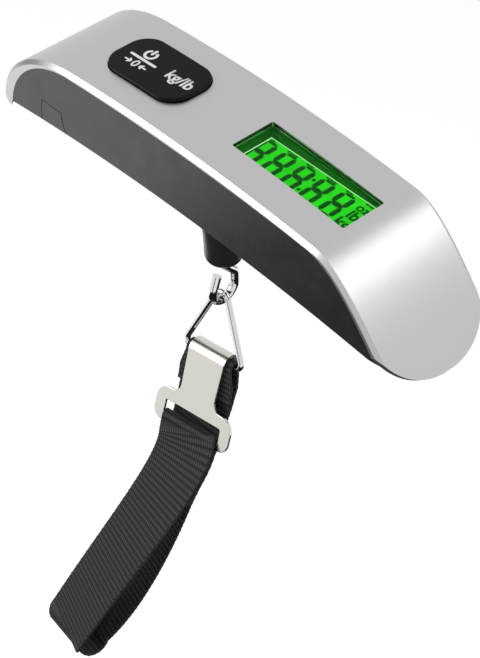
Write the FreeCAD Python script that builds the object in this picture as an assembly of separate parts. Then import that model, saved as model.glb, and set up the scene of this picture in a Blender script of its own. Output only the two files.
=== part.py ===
import FreeCAD, Part
import math
import os

# Digital luggage scale: a hand-held arched body with a display and a rocker key on top, a neck with
# a swivel hook below, and a webbing loop on a triangle ring and a hook plate.
# Millimetres. X runs along the body towards the display end, Y across it, Z up.
# The origin is on the hook's swivel axis, half a millimetre below the ends of the case's underside.

Vec = FreeCAD.Vector

# ---- driving dimensions -------------------------------------------------------------------------
BODY_WIDTH = 36.0
TAIL_REACH = 71.1          # swivel axis to the rounded tail end
NOSE_REACH = 82.7          # swivel axis to the tip of the nose
NOSE_LOW = -6.0            # the nose's lip hangs below the case's ends
BODY_HEIGHT = 25.9         # crown of the cover above the origin plane
SHOULDER_DROP = 1.5        # crown down to where the tail curve starts
NOSE_DROP = 2.4            # crown down to where the nose curve starts
UNDERSIDE_RISE = 4.1       # arch of the underside
COVER_WALL = 1.65
CASE_WALL = 1.8
EDGE_BEVEL = 1.1
SOLE_BEVEL = 0.6           # the underside's long edges rise by this much
NOSE_SWEEP = 12.7          # up the nose's face, its rounded corners fall back from its tip by this much
CASE_TAIL_INSET = 3.8      # cover's lip round the tail
CASE_NOSE_INSET = 7.7      # cover's lip round the nose
LID_GAP = 0.25             # clearance round the battery door
FIT_GAP = 0.1              # clearance of a piece seated in a pocket

NECK_LENGTH = 28.0         # underside to the flat end of the neck
NECK_RADIUS = 5.4
NECK_FLARE_RADIUS = 13.0
SHAFT_GAP = 0.06           # running clearance of a shaft in its bore, on the radius

HOOK_WIRE = 2.6
HOOK_BOWL_RADIUS = 4.4     # centre line of the bowl
RING_WIRE = 1.9
RING_SLACK = 0.1           # the ring's inside width beyond the webbing's
RING_HEIGHT = 20.7         # top of the apex bend to the base bar, centre lines
WEBBING_WIDTH = 20.0
WEBBING_THICKNESS = 1.2
PLATE_THICKNESS = 1.0
PLATE_NECK_WIDTH = 13.0
PLATE_EDGE_RADIUS = 0.2    # tumbled edges of the sheet
PLATE_SLOT_SLACK = 0.6     # the slot's width beyond the webbing's
PLATE_SIDE_BAR = 3.65      # frame of the slot at each side

DISPLAY_LENGTH = 40.0      # the opening over the display
DISPLAY_WIDTH = 14.2
DISPLAY_START = 11.2       # swivel axis to the opening's near end
KEY_LENGTH = 29.2
KEY_WIDTH = 17.6
KEY_CORNER = 6.4
KEY_CENTRE = -24.6         # swivel axis to the rocker's pivot
KEY_RISE = 1.15            # the rocker's face above the cover

CELL_DIAMETER = 20.0       # coin cell
CELL_THICKNESS = 3.2
BOARD_THICKNESS = 1.2
BOARD_DEPTH = 9.1          # crown down to the circuit board's top
BEAM_LENGTH = 48.0
BEAM_WIDTH = 12.0
BEAM_HEIGHT = 5.0
BEAM_FLOOR = 7.2           # underside of the load cell above the origin plane

YAW = 5.4                  # hook turned on its swivel as stored, degrees
RING_LEAN = -15.0          # ring swung in the hook as stored
RING_ROCK = -3.4           # ring rocked sideways on the hook's wire as stored
PLATE_LEAN = -22.0         # plate and strap swung on the ring as stored

HALF = BODY_WIDTH / 2
BOARD_TOP = BODY_HEIGHT - BOARD_DEPTH
MANY = 200.0               # longer than anything here, for cutting tools
TOUCH = 1e-6               # two points closer than this are one


# ---- helpers --------------------------------------------------------------------------------------
def box(x0, x1, y0, y1, z0, z1):
    return Part.makeBox(x1 - x0, y1 - y0, z1 - z0, Vec(x0, y0, z0))


def rod(radius, start, end):
    """Cylinder from one point to another."""
    way = end - start
    return Part.makeCylinder(radius, way.Length, start, way)


def line(a, b):
    return Part.LineSegment(a, b).toShape()


def curve(*poles):
    """Cubic Bezier edge through its end poles."""
    bezier = Part.BezierCurve()
    bezier.setPoles(list(poles))
    return bezier.toShape()


def arc(a, middle, b):
    return Part.Arc(a, middle, b).toShape()


def solid_between(wire, y0, y1):
    """Prism of a closed XZ outline from y0 to y1."""
    face = Part.Face(wire)
    face.translate(Vec(0, y0, 0))
    return face.extrude(Vec(0, y1 - y0, 0))


def rounded_plate(x0, x1, half_width, radius, z0, z1):
    """Upright prism with rounded corners, centred on y = 0."""
    plate = box(x0, x1, -half_width, half_width, z0, z1)
    upright = [e for e in plate.Edges if abs(e.Vertexes[0].Z - e.Vertexes[1].Z) > 1e-6]
    return plate.makeFillet(radius, upright)


def bent_wire(points, bends):
    """Wire of straight runs joined by tangent arcs; bends gives each inner corner's radius."""
    edges = []
    start = points[0]
    for before, corner, after, radius in zip(points, points[1:], points[2:], bends):
        back = (before - corner).normalize()
        on = (after - corner).normalize()
        half = back.getAngle(on) / 2
        reach = radius / math.tan(half)
        enter, leave = corner + back * reach, corner + on * reach
        towards = (back + on).normalize()
        middle = corner + towards * (radius / math.sin(half) - radius)
        if (enter - start).Length > TOUCH:
            edges.append(line(start, enter))
        edges.append(arc(enter, middle, leave))
        start = leave
    edges.append(line(start, points[-1]))
    return Part.Wire(edges)


def tube(path, radius):
    """Round bar along a wire."""
    first = path.Edges[0]
    start = first.valueAt(first.FirstParameter)
    way = first.tangentAt(first.FirstParameter)
    ring = Part.Wire(Part.Circle(start, way, radius).toShape())
    return path.makePipeShell([ring], True, False)


def join(first, *others):
    return first.fuse(list(others)).removeSplitter()


def export(name, *solids):
    """Write one node: a single solid, or a group of separate ones."""
    shape = solids[0] if len(solids) == 1 else Part.makeCompound(list(solids))
    if not shape.isValid():
        print("INVALID", name)
    shape.exportStep("parts/" + name + ".step")
    print(f"{name:20s} solids {len(shape.Solids)}  volume {shape.Volume:9.1f}")


os.makedirs("parts", exist_ok=True)

# ---- outlines of the body -------------------------------------------------------------------------
TAIL_TOP_X = -TAIL_REACH + 28.9      # the tail curve meets the crown arc
NOSE_TOP_X = NOSE_REACH - 30.8       # the nose curve leaves the crown arc
CROWN_X = -5.0
CASE_TAIL_X = -TAIL_REACH + CASE_TAIL_INSET
CASE_NOSE_X = NOSE_REACH - CASE_NOSE_INSET
CASE_FOOT_Z = 0.5
CASE_STEP = 0.3                      # the cover's lip laps under the case's ends by this much


NOSE_OUT = Vec(0.77, 0, 0.64)        # square to the nose's face at its lip, outwards
NOSE_DOWN = Vec(0.64, 0, -0.77)      # down that face


def body_section(y, inset):
    """Closed outline of the whole body in the plane y; inset shrinks it for the bevelled edge."""
    def at(x, z):
        return Vec(x, y, z)
    top = BODY_HEIGHT - inset
    tail = -TAIL_REACH + inset
    in_x, in_z = -NOSE_OUT.x * inset, -NOSE_OUT.z * inset
    heel = at(tail + 2.6, -0.7)
    tail_low = at(tail, 2.2)
    tail_top = at(TAIL_TOP_X, top - SHOULDER_DROP)
    nose_top = at(NOSE_TOP_X, top - NOSE_DROP)
    nose_end = at(NOSE_REACH + in_x, NOSE_LOW + in_z)
    toe = nose_end - NOSE_OUT * (COVER_WALL - inset / 2)
    sole_rise = SOLE_BEVEL * inset / EDGE_BEVEL
    case_toe = at(CASE_NOSE_X, CASE_FOOT_Z + sole_rise)
    case_heel = at(CASE_TAIL_X, CASE_FOOT_Z + sole_rise)
    return Part.Wire([
        curve(heel, at(tail + 1.2, -0.7), at(tail, 0.4), tail_low),
        curve(tail_low, at(tail + 0.5, 10.7), at(tail + 10.4, top - 3.3), tail_top),
        arc(tail_top, at(CROWN_X, top), nose_top),
        curve(nose_top, at(NOSE_TOP_X + 9.5, top - NOSE_DROP - 1.0),
              at(NOSE_REACH - 8.2 + in_x, 4.0 + in_z), nose_end),
        line(nose_end, toe),
        line(toe, case_toe),
        arc(case_toe, at(CROWN_X, UNDERSIDE_RISE + sole_rise), case_heel),
        line(case_heel, heel)])


def nose_corners():
    """What is cut from the nose, square to its face: all beyond a curve from side to side through the tip."""
    def at(down, y):
        return Vec(NOSE_REACH, y, NOSE_LOW) - NOSE_OUT * MANY + NOSE_DOWN * down

    def half(side):
        return [at(-NOSE_SWEEP, side * HALF), at(-0.45 * NOSE_SWEEP, side * (HALF - 2.3)),
                at(0.1, side * 0.55 * HALF), at(0.1, 0)]
    near, far = half(-1), half(1)
    corners = [far[0], at(-NOSE_SWEEP, HALF + MANY), at(MANY, HALF + MANY),
               at(MANY, -HALF - MANY), at(-NOSE_SWEEP, -HALF - MANY), near[0]]
    outline = [curve(*near), curve(*reversed(far))] + [line(a, b) for a, b in zip(corners, corners[1:])]
    return Part.Face(Part.Wire(outline)).extrude(NOSE_OUT * 2 * MANY)


def body_blank():
    """The whole body as one solid: a straight middle and two bevelled flanks, with rounded nose corners."""
    inner = HALF - EDGE_BEVEL
    middle = Part.Face(body_section(-inner, 0.0)).extrude(Vec(0, 2 * inner, 0))
    near = Part.makeLoft([body_section(-HALF, EDGE_BEVEL), body_section(-inner, 0.0)], True, True)
    far = Part.makeLoft([body_section(inner, 0.0), body_section(HALF, EDGE_BEVEL)], True, True)
    return middle.fuse([near, far]).cut(nose_corners())


def case_curves(inset):
    """Tail curve, crown arc and nose curve of the black case's outline."""
    top = BODY_HEIGHT - COVER_WALL - inset
    foot = CASE_FOOT_Z + inset
    heel = Vec(CASE_TAIL_X + CASE_STEP + inset, 0, foot)
    toe = Vec(CASE_NOSE_X - CASE_STEP - inset, 0, foot)
    tail_top = Vec(TAIL_TOP_X, 0, top - SHOULDER_DROP + 0.15)
    nose_top = Vec(NOSE_TOP_X - 2.0, 0, top - NOSE_DROP + 0.45)
    tail = curve(heel, Vec(heel.x + 0.5, 0, foot + 9.0), Vec(heel.x + 8.6, 0, tail_top.z - 1.9), tail_top)
    crown = arc(tail_top, Vec(CROWN_X, 0, top), nose_top)
    nose = curve(nose_top, Vec(nose_top.x + 9.5, 0, nose_top.z - 1.1), Vec(toe.x - 7.3, 0, 9.8 - inset), toe)
    return heel, toe, tail_top, nose_top, tail, crown, nose


def case_outline():
    """Everything under the cover: its curves above, open space below."""
    heel, toe, _, _, tail, crown, nose = case_curves(0.0)
    below_toe, below_heel = Vec(toe.x, 0, -MANY), Vec(heel.x, 0, -MANY)
    return Part.Wire([tail, crown, nose, line(toe, below_toe), line(below_toe, below_heel),
                      line(below_heel, heel)])


def case_cavity_outline():
    """Room inside the case: a sloping wall at each end, open towards the cover."""
    foot = CASE_FOOT_Z + CASE_WALL
    heel = Vec(CASE_TAIL_X + 2.4, 0, foot)
    toe = Vec(CASE_NOSE_X - 4.4, 0, foot)
    tail_rim = Vec(CASE_TAIL_X + 9.5, 0, 17.5)
    nose_rim = Vec(CASE_NOSE_X - 18.5, 0, 20.0)
    tail_lid, nose_lid = Vec(tail_rim.x, 0, MANY), Vec(nose_rim.x, 0, MANY)
    sole = arc(toe, Vec(CROWN_X, 0, UNDERSIDE_RISE + CASE_WALL), heel)
    return Part.Wire([line(heel, tail_rim), line(tail_rim, tail_lid), line(tail_lid, nose_lid),
                      line(nose_lid, nose_rim), line(nose_rim, toe), sole])


def arc_height(x, ends_x, ends_z, crown_x, crown_z):
    """Height at x of the circle through two ends and the crown point."""
    (x0, x1), (z0, z1) = ends_x, ends_z
    circle = Part.Arc(Vec(x0, 0, z0), Vec(crown_x, 0, crown_z), Vec(x1, 0, z1)).toShape().Curve
    c = circle.Center
    side = 1.0 if crown_z > c.z else -1.0
    return c.z + side * math.sqrt(circle.Radius**2 - (x - c.x)**2)


def cover_top(x):
    top = BODY_HEIGHT
    return arc_height(x, (TAIL_TOP_X, NOSE_TOP_X), (top - SHOULDER_DROP, top - NOSE_DROP), CROWN_X, top)


def cover_inside(x):
    _, _, tail_top, nose_top, _, _, _ = case_curves(0.0)
    return arc_height(x, (tail_top.x, nose_top.x), (tail_top.z, nose_top.z), CROWN_X,
                      BODY_HEIGHT - COVER_WALL)


def underside(x):
    return arc_height(x, (CASE_TAIL_X, CASE_NOSE_X), (CASE_FOOT_Z, CASE_FOOT_Z), CROWN_X,
                      UNDERSIDE_RISE)


def floor(x):
    return underside(x) + CASE_WALL


blank = body_blank()
case_block = solid_between(case_outline(), -MANY, MANY)

cavity = solid_between(case_cavity_outline(), -HALF + CASE_WALL, HALF - CASE_WALL)

# ---- fastening points -----------------------------------------------------------------------------
CASE_POST_RADIUS = 2.4
CASE_POST_SPLIT = 8.0      # case standoffs meet the cover's posts here
CASE_SCREW_RADIUS = 1.0
CASE_SCREW_HEAD = 1.9
CASE_SCREW_LENGTH = 9.0
DOOR_END = -30.6           # the battery door's hinge edge
CRADLE_WALL = 1.1
CONTACT_HALF_WIDTH = 2.0
cell_r = CELL_DIAMETER / 2
CELL_X = DOOR_END - FIT_GAP - CRADLE_WALL - cell_r
DOOR_START = CELL_X - cell_r - CRADLE_WALL - 0.9
TAIL_SCREW_X = DOOR_START - 2.7
NOSE_SCREW_X = 57.5
CASE_SCREW_Y = 9.0
case_screw_places = [(x, y) for x in (TAIL_SCREW_X, NOSE_SCREW_X) for y in (-CASE_SCREW_Y, CASE_SCREW_Y)]

BOARD_END = 54.0
BOARD_HALF_WIDTH = 13.5
BOARD_UNDER = BOARD_TOP - BOARD_THICKNESS
BOARD_POST_RADIUS = 2.0
BOARD_SCREW_RADIUS = 0.8
BOARD_SCREW_HEAD = 1.5
BOARD_SCREW_LENGTH = 5.0
BOARD_SCREW_X = CELL_X - CONTACT_HALF_WIDTH - BOARD_SCREW_HEAD - 0.2
board_screw_places = [(x, y) for x in (BOARD_SCREW_X, -4.0) for y in (-11.0, 11.0)]
BOARD_START = BOARD_SCREW_X - 3.5

BEAM_TOP = BEAM_FLOOR + BEAM_HEIGHT
BEAM_START = -8.0
BEAM_SCREW_RADIUS = 1.5
BEAM_SCREW_LENGTH = 8.0
beam_screw_xs = (BEAM_START + BEAM_LENGTH - 13.0, BEAM_START + BEAM_LENGTH - 5.0)


def screw(head_radius, head_height, shank_radius, length, under_head, way):
    """Pan-head screw; under_head is where the head seats, way points from head to tip."""
    head = Part.makeCylinder(head_radius, head_height, under_head - way * head_height, way)
    shank = Part.makeCylinder(shank_radius, length, under_head, way)
    slot_mid = under_head - way * head_height
    slot = Part.makeBox(head_radius * 1.3, 0.35, 1.0, slot_mid - Vec(head_radius * 0.65, 0.175, 0.5))
    return head.fuse(shank).cut(slot)


# ---- key: one rocker cap over two switches ---------------------------------------------------------
KEY_GAP = 0.3
KEY_FLANGE = 1.0
KEY_FLANGE_THICKNESS = 0.9
KEY_PIN_RADIUS = 1.0
KEY_PIN_Z = BODY_HEIGHT - 4.1
KEY_FLANGE_LOW = KEY_PIN_Z - 0.2
KEY_FLANGE_HIGH = KEY_FLANGE_LOW + KEY_FLANGE_THICKNESS
KEY_PIN_REACH = 12.4
BEARING_START = 10.6
BEARING_HALF = 2.4
SWITCH_REACH = 7.5         # pivot to each switch
SWITCH_SIZE = 6.0
SWITCH_BODY_HEIGHT = 3.5
SWITCH_PLUNGER_HEIGHT = 0.7
PRESS_GAP = 0.25

key_end_low = KEY_CENTRE - KEY_LENGTH / 2
key_end_high = KEY_CENTRE + KEY_LENGTH / 2

raised = case_block.copy()
raised.translate(Vec(0, 0, COVER_WALL + KEY_RISE))
key_cap = rounded_plate(key_end_low, key_end_high, KEY_WIDTH / 2, KEY_CORNER, KEY_FLANGE_LOW, MANY)
key_cap = key_cap.common(raised)
crown_edges = [e for e in key_cap.Edges if e.BoundBox.ZMin > cover_top(key_end_low) - 0.2]
key_cap = key_cap.makeFillet(0.45, crown_edges)
key_flange = rounded_plate(key_end_low - KEY_FLANGE, key_end_high + KEY_FLANGE, KEY_WIDTH / 2 + KEY_FLANGE,
                           KEY_CORNER + KEY_FLANGE, KEY_FLANGE_LOW, KEY_FLANGE_HIGH)
key_pin = rod(KEY_PIN_RADIUS, Vec(KEY_CENTRE, -KEY_PIN_REACH, KEY_PIN_Z),
              Vec(KEY_CENTRE, KEY_PIN_REACH, KEY_PIN_Z))
switch_xs = (KEY_CENTRE - SWITCH_REACH, KEY_CENTRE + SWITCH_REACH)
plunger_top = BOARD_TOP + SWITCH_BODY_HEIGHT + SWITCH_PLUNGER_HEIGHT
key_feet = [rod(1.8, Vec(x, 0, plunger_top + PRESS_GAP), Vec(x, 0, KEY_FLANGE_HIGH)) for x in switch_xs]
key_cap = join(key_cap, key_flange, key_pin, *key_feet)

key_switches = []
for x in switch_xs:
    r = SWITCH_SIZE / 2
    body = box(x - r, x + r, -r, r, BOARD_TOP, BOARD_TOP + SWITCH_BODY_HEIGHT)
    plunger = rod(1.7, Vec(x, 0, BOARD_TOP), Vec(x, 0, plunger_top))
    key_switches.append(join(body, plunger))

# ---- cover ----------------------------------------------------------------------------------------
DISPLAY_END = DISPLAY_START + DISPLAY_LENGTH
cover = max(blank.cut(case_block).Solids, key=lambda s: s.Volume)
cover = cover.cut(rounded_plate(DISPLAY_START, DISPLAY_END, DISPLAY_WIDTH / 2, 0.6, BOARD_TOP, MANY))
cover = cover.cut(rounded_plate(key_end_low - KEY_GAP, key_end_high + KEY_GAP, KEY_WIDTH / 2 + KEY_GAP,
                                KEY_CORNER + KEY_GAP, BOARD_TOP, MANY))
posts = []
for x, y in case_screw_places:
    posts.append(rod(CASE_POST_RADIUS, Vec(x, y, CASE_POST_SPLIT), Vec(x, y, MANY)))
for x, y in board_screw_places:
    posts.append(rod(BOARD_POST_RADIUS, Vec(x, y, BOARD_TOP), Vec(x, y, MANY)))
for side in (-1, 1):
    near, far = sorted((side * BEARING_START, side * (KEY_PIN_REACH + 0.4)))
    posts.append(box(KEY_CENTRE - BEARING_HALF, KEY_CENTRE + BEARING_HALF, near, far, KEY_PIN_Z - 1.8, MANY))
bearing_bore = rod(KEY_PIN_RADIUS + SHAFT_GAP, Vec(KEY_CENTRE, -KEY_PIN_REACH - 0.1, KEY_PIN_Z),
                   Vec(KEY_CENTRE, KEY_PIN_REACH + 0.1, KEY_PIN_Z))
roof = case_block.copy()
roof.translate(Vec(0, 0, COVER_WALL / 2))
cover = cover.fuse([post.common(roof) for post in posts]).removeSplitter().cut(bearing_bore)
for x, y in case_screw_places:
    tip = CASE_POST_SPLIT - 1.6 + CASE_SCREW_LENGTH
    cover = cover.cut(rod(CASE_SCREW_RADIUS + 0.02, Vec(x, y, 0), Vec(x, y, tip + 0.2)))
for x, y in board_screw_places:
    tip = BOARD_UNDER + BOARD_SCREW_LENGTH
    cover = cover.cut(rod(BOARD_SCREW_RADIUS + 0.02, Vec(x, y, 0), Vec(x, y, tip + 0.2)))

# ---- lower case with its neck -----------------------------------------------------------------------
neck_end = UNDERSIDE_RISE - NECK_LENGTH
NECK_BORE = 3.0
SHANK_RADIUS = HOOK_WIRE / 2
BUSH_LENGTH = 7.0
NECK_LIP = 1.0

case = blank.common(case_block).cut(cavity)
neck_outline = Part.Wire([
    line(Vec(0, 0, neck_end), Vec(NECK_RADIUS - 2.2, 0, neck_end)),
    curve(Vec(NECK_RADIUS - 2.2, 0, neck_end), Vec(NECK_RADIUS - 0.6, 0, neck_end),
          Vec(NECK_RADIUS, 0, neck_end + 1.2), Vec(NECK_RADIUS, 0, neck_end + 3.0)),
    curve(Vec(NECK_RADIUS, 0, neck_end + 3.0), Vec(NECK_RADIUS + 0.2, 0, neck_end + 13.0),
          Vec(NECK_RADIUS + 1.6, 0, neck_end + 23.0), Vec(NECK_FLARE_RADIUS, 0, UNDERSIDE_RISE)),
    line(Vec(NECK_FLARE_RADIUS, 0, UNDERSIDE_RISE), Vec(0, 0, UNDERSIDE_RISE + 0.5)),
    line(Vec(0, 0, UNDERSIDE_RISE + 0.5), Vec(0, 0, neck_end))])
neck = Part.Face(neck_outline).revolve(Vec(0, 0, 0), Vec(0, 0, 1), 360)
case = case.fuse(neck)
standoffs = []
for x, y in case_screw_places:
    standoffs.append(rod(CASE_POST_RADIUS + 0.6, Vec(x, y, underside(x) + 0.5), Vec(x, y, CASE_POST_SPLIT)))
pedestal_start = beam_screw_xs[0] - 4.0
standoffs.append(box(pedestal_start, BEAM_START + BEAM_LENGTH, -BEAM_WIDTH / 2, BEAM_WIDTH / 2,
                     underside(pedestal_start) - 1.0, BEAM_FLOOR))
case = case.fuse(standoffs).removeSplitter()
for x, y in case_screw_places:
    case = case.cut(rod(CASE_SCREW_RADIUS + 0.15, Vec(x, y, -MANY / 4), Vec(x, y, CASE_POST_SPLIT)))
    case = case.cut(rod(CASE_SCREW_HEAD + 0.15, Vec(x, y, -MANY / 4), Vec(x, y, CASE_POST_SPLIT - 1.6)))
    case = case.cut(rod(CASE_POST_RADIUS + 0.15, Vec(x, y, CASE_POST_SPLIT), Vec(x, y, MANY)))
for x in beam_screw_xs:
    tip = BEAM_TOP - BEAM_SCREW_LENGTH
    case = case.cut(rod(BEAM_SCREW_RADIUS + 0.02, Vec(x, 0, tip - 0.1), Vec(x, 0, BEAM_FLOOR)))
case = case.cut(rod(NECK_BORE, Vec(0, 0, neck_end + NECK_LIP), Vec(0, 0, MANY)))
case = case.cut(rod(SHANK_RADIUS + 0.3, Vec(0, 0, neck_end - 1), Vec(0, 0, 0)))

bush_low = neck_end + NECK_LIP
neck_bush = rod(NECK_BORE - 0.02, Vec(0, 0, bush_low), Vec(0, 0, bush_low + BUSH_LENGTH))
neck_bush = neck_bush.cut(rod(SHANK_RADIUS + SHAFT_GAP, Vec(0, 0, neck_end), Vec(0, 0, 0)))

# ---- battery door: a saddle with two finger ears and a tongue --------------------------------------
DOOR_EAR_WIDTH = 9.0
DOOR_EAR_HEIGHT = 9.5
DOOR_SADDLE_WIDTH = 13.0
DOOR_TONGUE_HALF = 12.5
DOOR_PIN_RADIUS = 0.5      # stub pins at the hinge edge, turning in bores in the case's rim
DOOR_PIN_REACH = 0.9
DOOR_BEAD_RADIUS = CASE_WALL / 2 - 0.12
door_pivot = Vec(DOOR_END, 0, underside(DOOR_END) + CASE_WALL / 2)
y_way = Vec(0, 1, 0)


def door_block(gap):
    """Space of the door, shrunk by a gap on every parting face. Its far face is an arc about the hinge."""
    reach = DOOR_END - DOOR_START - gap
    x1, top = DOOR_START + DOOR_EAR_WIDTH - gap, DOOR_EAR_HEIGHT - gap
    foot_x = DOOR_START + DOOR_SADDLE_WIDTH - gap

    def far(z):
        return Vec(DOOR_END - math.sqrt(reach**2 - (z - door_pivot.z)**2), 0, z)
    ear = Part.Wire([
        arc(far(-5.0), far(door_pivot.z), far(top)), line(far(top), Vec(x1, 0, top)),
        curve(Vec(x1, 0, top), Vec(x1 + 0.2, 0, top - 5.0), Vec(x1 + 1.4, 0, 3.2), Vec(foot_x, 0, 1.8)),
        line(Vec(foot_x, 0, 1.8), Vec(foot_x, 0, -5.0)), line(Vec(foot_x, 0, -5.0), far(-5.0))])
    tongue = box(x1 - 1.0, DOOR_END, -DOOR_TONGUE_HALF + gap, DOOR_TONGUE_HALF - gap, -10, 6.0)
    return solid_between(ear, -MANY, MANY).fuse(tongue)


def hinge_rod(radius, reach):
    return rod(radius, door_pivot - y_way * reach, door_pivot + y_way * reach)


tongue_half = DOOR_TONGUE_HALF - LID_GAP
battery_door = case.common(door_block(LID_GAP))
battery_door = max(battery_door.Solids, key=lambda s: s.Volume)
battery_door = join(battery_door, hinge_rod(DOOR_BEAD_RADIUS, tongue_half),
                    hinge_rod(DOOR_PIN_RADIUS, DOOR_TONGUE_HALF + DOOR_PIN_REACH))
case = case.cut(door_block(0.0))
case = max(case.Solids, key=lambda s: s.Volume)
case = case.cut(hinge_rod(CASE_WALL / 2 + 2 * FIT_GAP, DOOR_TONGUE_HALF))
case = case.cut(hinge_rod(DOOR_PIN_RADIUS + SHAFT_GAP, DOOR_TONGUE_HALF + DOOR_PIN_REACH + 0.1))

# ---- battery ---------------------------------------------------------------------------------------
CELL_FLOOR = 6.4
CELL_TOP = CELL_FLOOR + CELL_THICKNESS
CRADLE_GAP = 0.25
CRADLE_TOP = CELL_TOP + 1.5
LEAF = 0.3
coin_cell = join(rod(cell_r, Vec(CELL_X, 0, CELL_FLOOR + 0.5), Vec(CELL_X, 0, CELL_TOP)),
                 rod(cell_r - 1.0, Vec(CELL_X, 0, CELL_FLOOR), Vec(CELL_X, 0, CELL_TOP)))
cradle_half = HALF - CASE_WALL - FIT_GAP
cradle = box(CELL_X - cell_r - CRADLE_WALL, CELL_X + cell_r + CRADLE_WALL, -cradle_half, cradle_half,
             CELL_FLOOR - 0.3, CRADLE_TOP)
cradle = cradle.cut(rod(cell_r + CRADLE_GAP, Vec(CELL_X, 0, 0), Vec(CELL_X, 0, CELL_TOP + 0.5)))
leaf_end = CELL_X + cell_r - 1.6
side_y = cell_r + 0.05
cradle = cradle.cut(box(leaf_end - 0.9, leaf_end + 0.3, -1.9, 1.9, CELL_TOP, MANY))
cradle = cradle.cut(box(CELL_X - CONTACT_HALF_WIDTH - 0.3, CELL_X + CONTACT_HALF_WIDTH + 0.3, side_y - 0.6,
                        side_y + LEAF + 0.3, 0, MANY))
centre_contact = join(box(CELL_X - 4.0, leaf_end, -1.5, 1.5, CELL_TOP + 0.02, CELL_TOP + 0.02 + LEAF),
                      box(leaf_end - LEAF, leaf_end, -1.5, 1.5, CELL_TOP + 0.02, BOARD_UNDER))
side_contact = box(CELL_X - CONTACT_HALF_WIDTH, CELL_X + CONTACT_HALF_WIDTH, side_y, side_y + LEAF,
                   CELL_FLOOR, BOARD_UNDER)

# ---- circuit board and what is soldered to it ---------------------------------------------------------
circuit_board = box(BOARD_START, BOARD_END, -BOARD_HALF_WIDTH, BOARD_HALF_WIDTH, BOARD_UNDER, BOARD_TOP)
for x, y in board_screw_places:
    circuit_board = circuit_board.cut(rod(BOARD_SCREW_RADIUS + 0.1, Vec(x, y, 0), Vec(x, y, MANY)))
chip_disc = rod(4.5, Vec(1.5, 0, BOARD_TOP), Vec(1.5, 0, BOARD_TOP + 1.4))
controller_chip = chip_disc.makeFillet(0.9, [e for e in chip_disc.Edges if e.BoundBox.ZMin > BOARD_TOP + 1.0])
amplifier_chip = box(14.0, 19.0, -9.5, -5.5, BOARD_UNDER - 1.5, BOARD_UNDER)
passives = [box(x, x + 1.6, y, y + 0.9, BOARD_TOP, BOARD_TOP + 0.7)
            for x in (-8.0, -5.4, 3.5) for y in (-9.0, -6.8, 7.0)]

# ---- display stack -----------------------------------------------------------------------------------
FRAME_WALL = 1.2
GLASS_OVERLAP = 1.7        # display glass beyond the opening at each end
GUIDE_THICKNESS = 1.5
GLASS_THICKNESS = 2.0
WINDOW_THICKNESS = 1.1
STRIP_WIDTH = 1.0
SHADE_INSET = 0.3          # the frame's opening, beyond the cover's lengthways and inside it across
guide_top = BOARD_TOP + GUIDE_THICKNESS
glass_start, glass_end = DISPLAY_START - GLASS_OVERLAP, DISPLAY_END + GLASS_OVERLAP
glass_half = DISPLAY_WIDTH / 2 + 3.3
guide_half = glass_half - STRIP_WIDTH - 0.1
backlight = box(glass_start, glass_end, -guide_half, guide_half, BOARD_TOP, guide_top)
contact_strips = [box(glass_start, glass_end, min(side * (guide_half + 0.05), side * glass_half),
                      max(side * (guide_half + 0.05), side * glass_half), BOARD_TOP, guide_top)
                  for side in (-1, 1)]
lcd_glass = box(glass_start, glass_end, -glass_half, glass_half, guide_top, guide_top + GLASS_THICKNESS)
under_cover = case_block.copy()
under_cover.translate(Vec(0, 0, -0.02))
window_back = case_block.copy()
window_back.translate(Vec(0, 0, -WINDOW_THICKNESS))
display_window = under_cover.common(box(DISPLAY_START - 2.2, DISPLAY_END + 2.0, -DISPLAY_WIDTH / 2 - 2.3,
                                        DISPLAY_WIDTH / 2 + 2.3, BOARD_TOP, MANY)).cut(window_back)
under_window = window_back.copy()
under_window.translate(Vec(0, 0, -FIT_GAP / 2))
display_frame = box(glass_start - FRAME_WALL, glass_end + FRAME_WALL, -glass_half - FRAME_WALL,
                    glass_half + FRAME_WALL, BOARD_TOP, MANY).common(under_window)
display_frame = display_frame.cut(box(glass_start - FIT_GAP, glass_end + FIT_GAP, -glass_half - FIT_GAP,
                                      glass_half + FIT_GAP, BOARD_TOP - 1, guide_top + GLASS_THICKNESS + 0.02))
display_frame = display_frame.cut(box(DISPLAY_START - SHADE_INSET, DISPLAY_END + SHADE_INSET,
                                      -DISPLAY_WIDTH / 2 + SHADE_INSET, DISPLAY_WIDTH / 2 - SHADE_INSET,
                                      guide_top, MANY))

# ---- load cell and swivel ----------------------------------------------------------------------------
GAUGE_LENGTH, GAUGE_WIDTH, GAUGE_THICKNESS = 8.0, 5.0, 0.2
FLEX_HOLE_RADIUS = 1.9
FLEX_X = 14.0
WASHER_RADIUS, WASHER_THICKNESS = 3.8, 0.6
NUT_RADIUS, NUT_HEIGHT = 2.7, 2.2
beam_mid = BEAM_FLOOR + BEAM_HEIGHT / 2
load_cell = box(BEAM_START, BEAM_START + BEAM_LENGTH, -BEAM_WIDTH / 2, BEAM_WIDTH / 2, BEAM_FLOOR, BEAM_TOP)
for x in (FLEX_X - 3.0, FLEX_X + 3.0):
    load_cell = load_cell.cut(rod(FLEX_HOLE_RADIUS, Vec(x, -BEAM_WIDTH, beam_mid), Vec(x, BEAM_WIDTH, beam_mid)))
load_cell = load_cell.cut(box(FLEX_X - 3.0, FLEX_X + 3.0, -BEAM_WIDTH, BEAM_WIDTH,
                              beam_mid - 0.5, beam_mid + 0.5))
load_cell = load_cell.cut(rod(SHANK_RADIUS + SHAFT_GAP, Vec(0, 0, 0), Vec(0, 0, BEAM_TOP + 1)))
for x in beam_screw_xs:
    load_cell = load_cell.cut(rod(BEAM_SCREW_RADIUS + 0.1, Vec(x, 0, 0), Vec(x, 0, BEAM_TOP + 1)))
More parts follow.
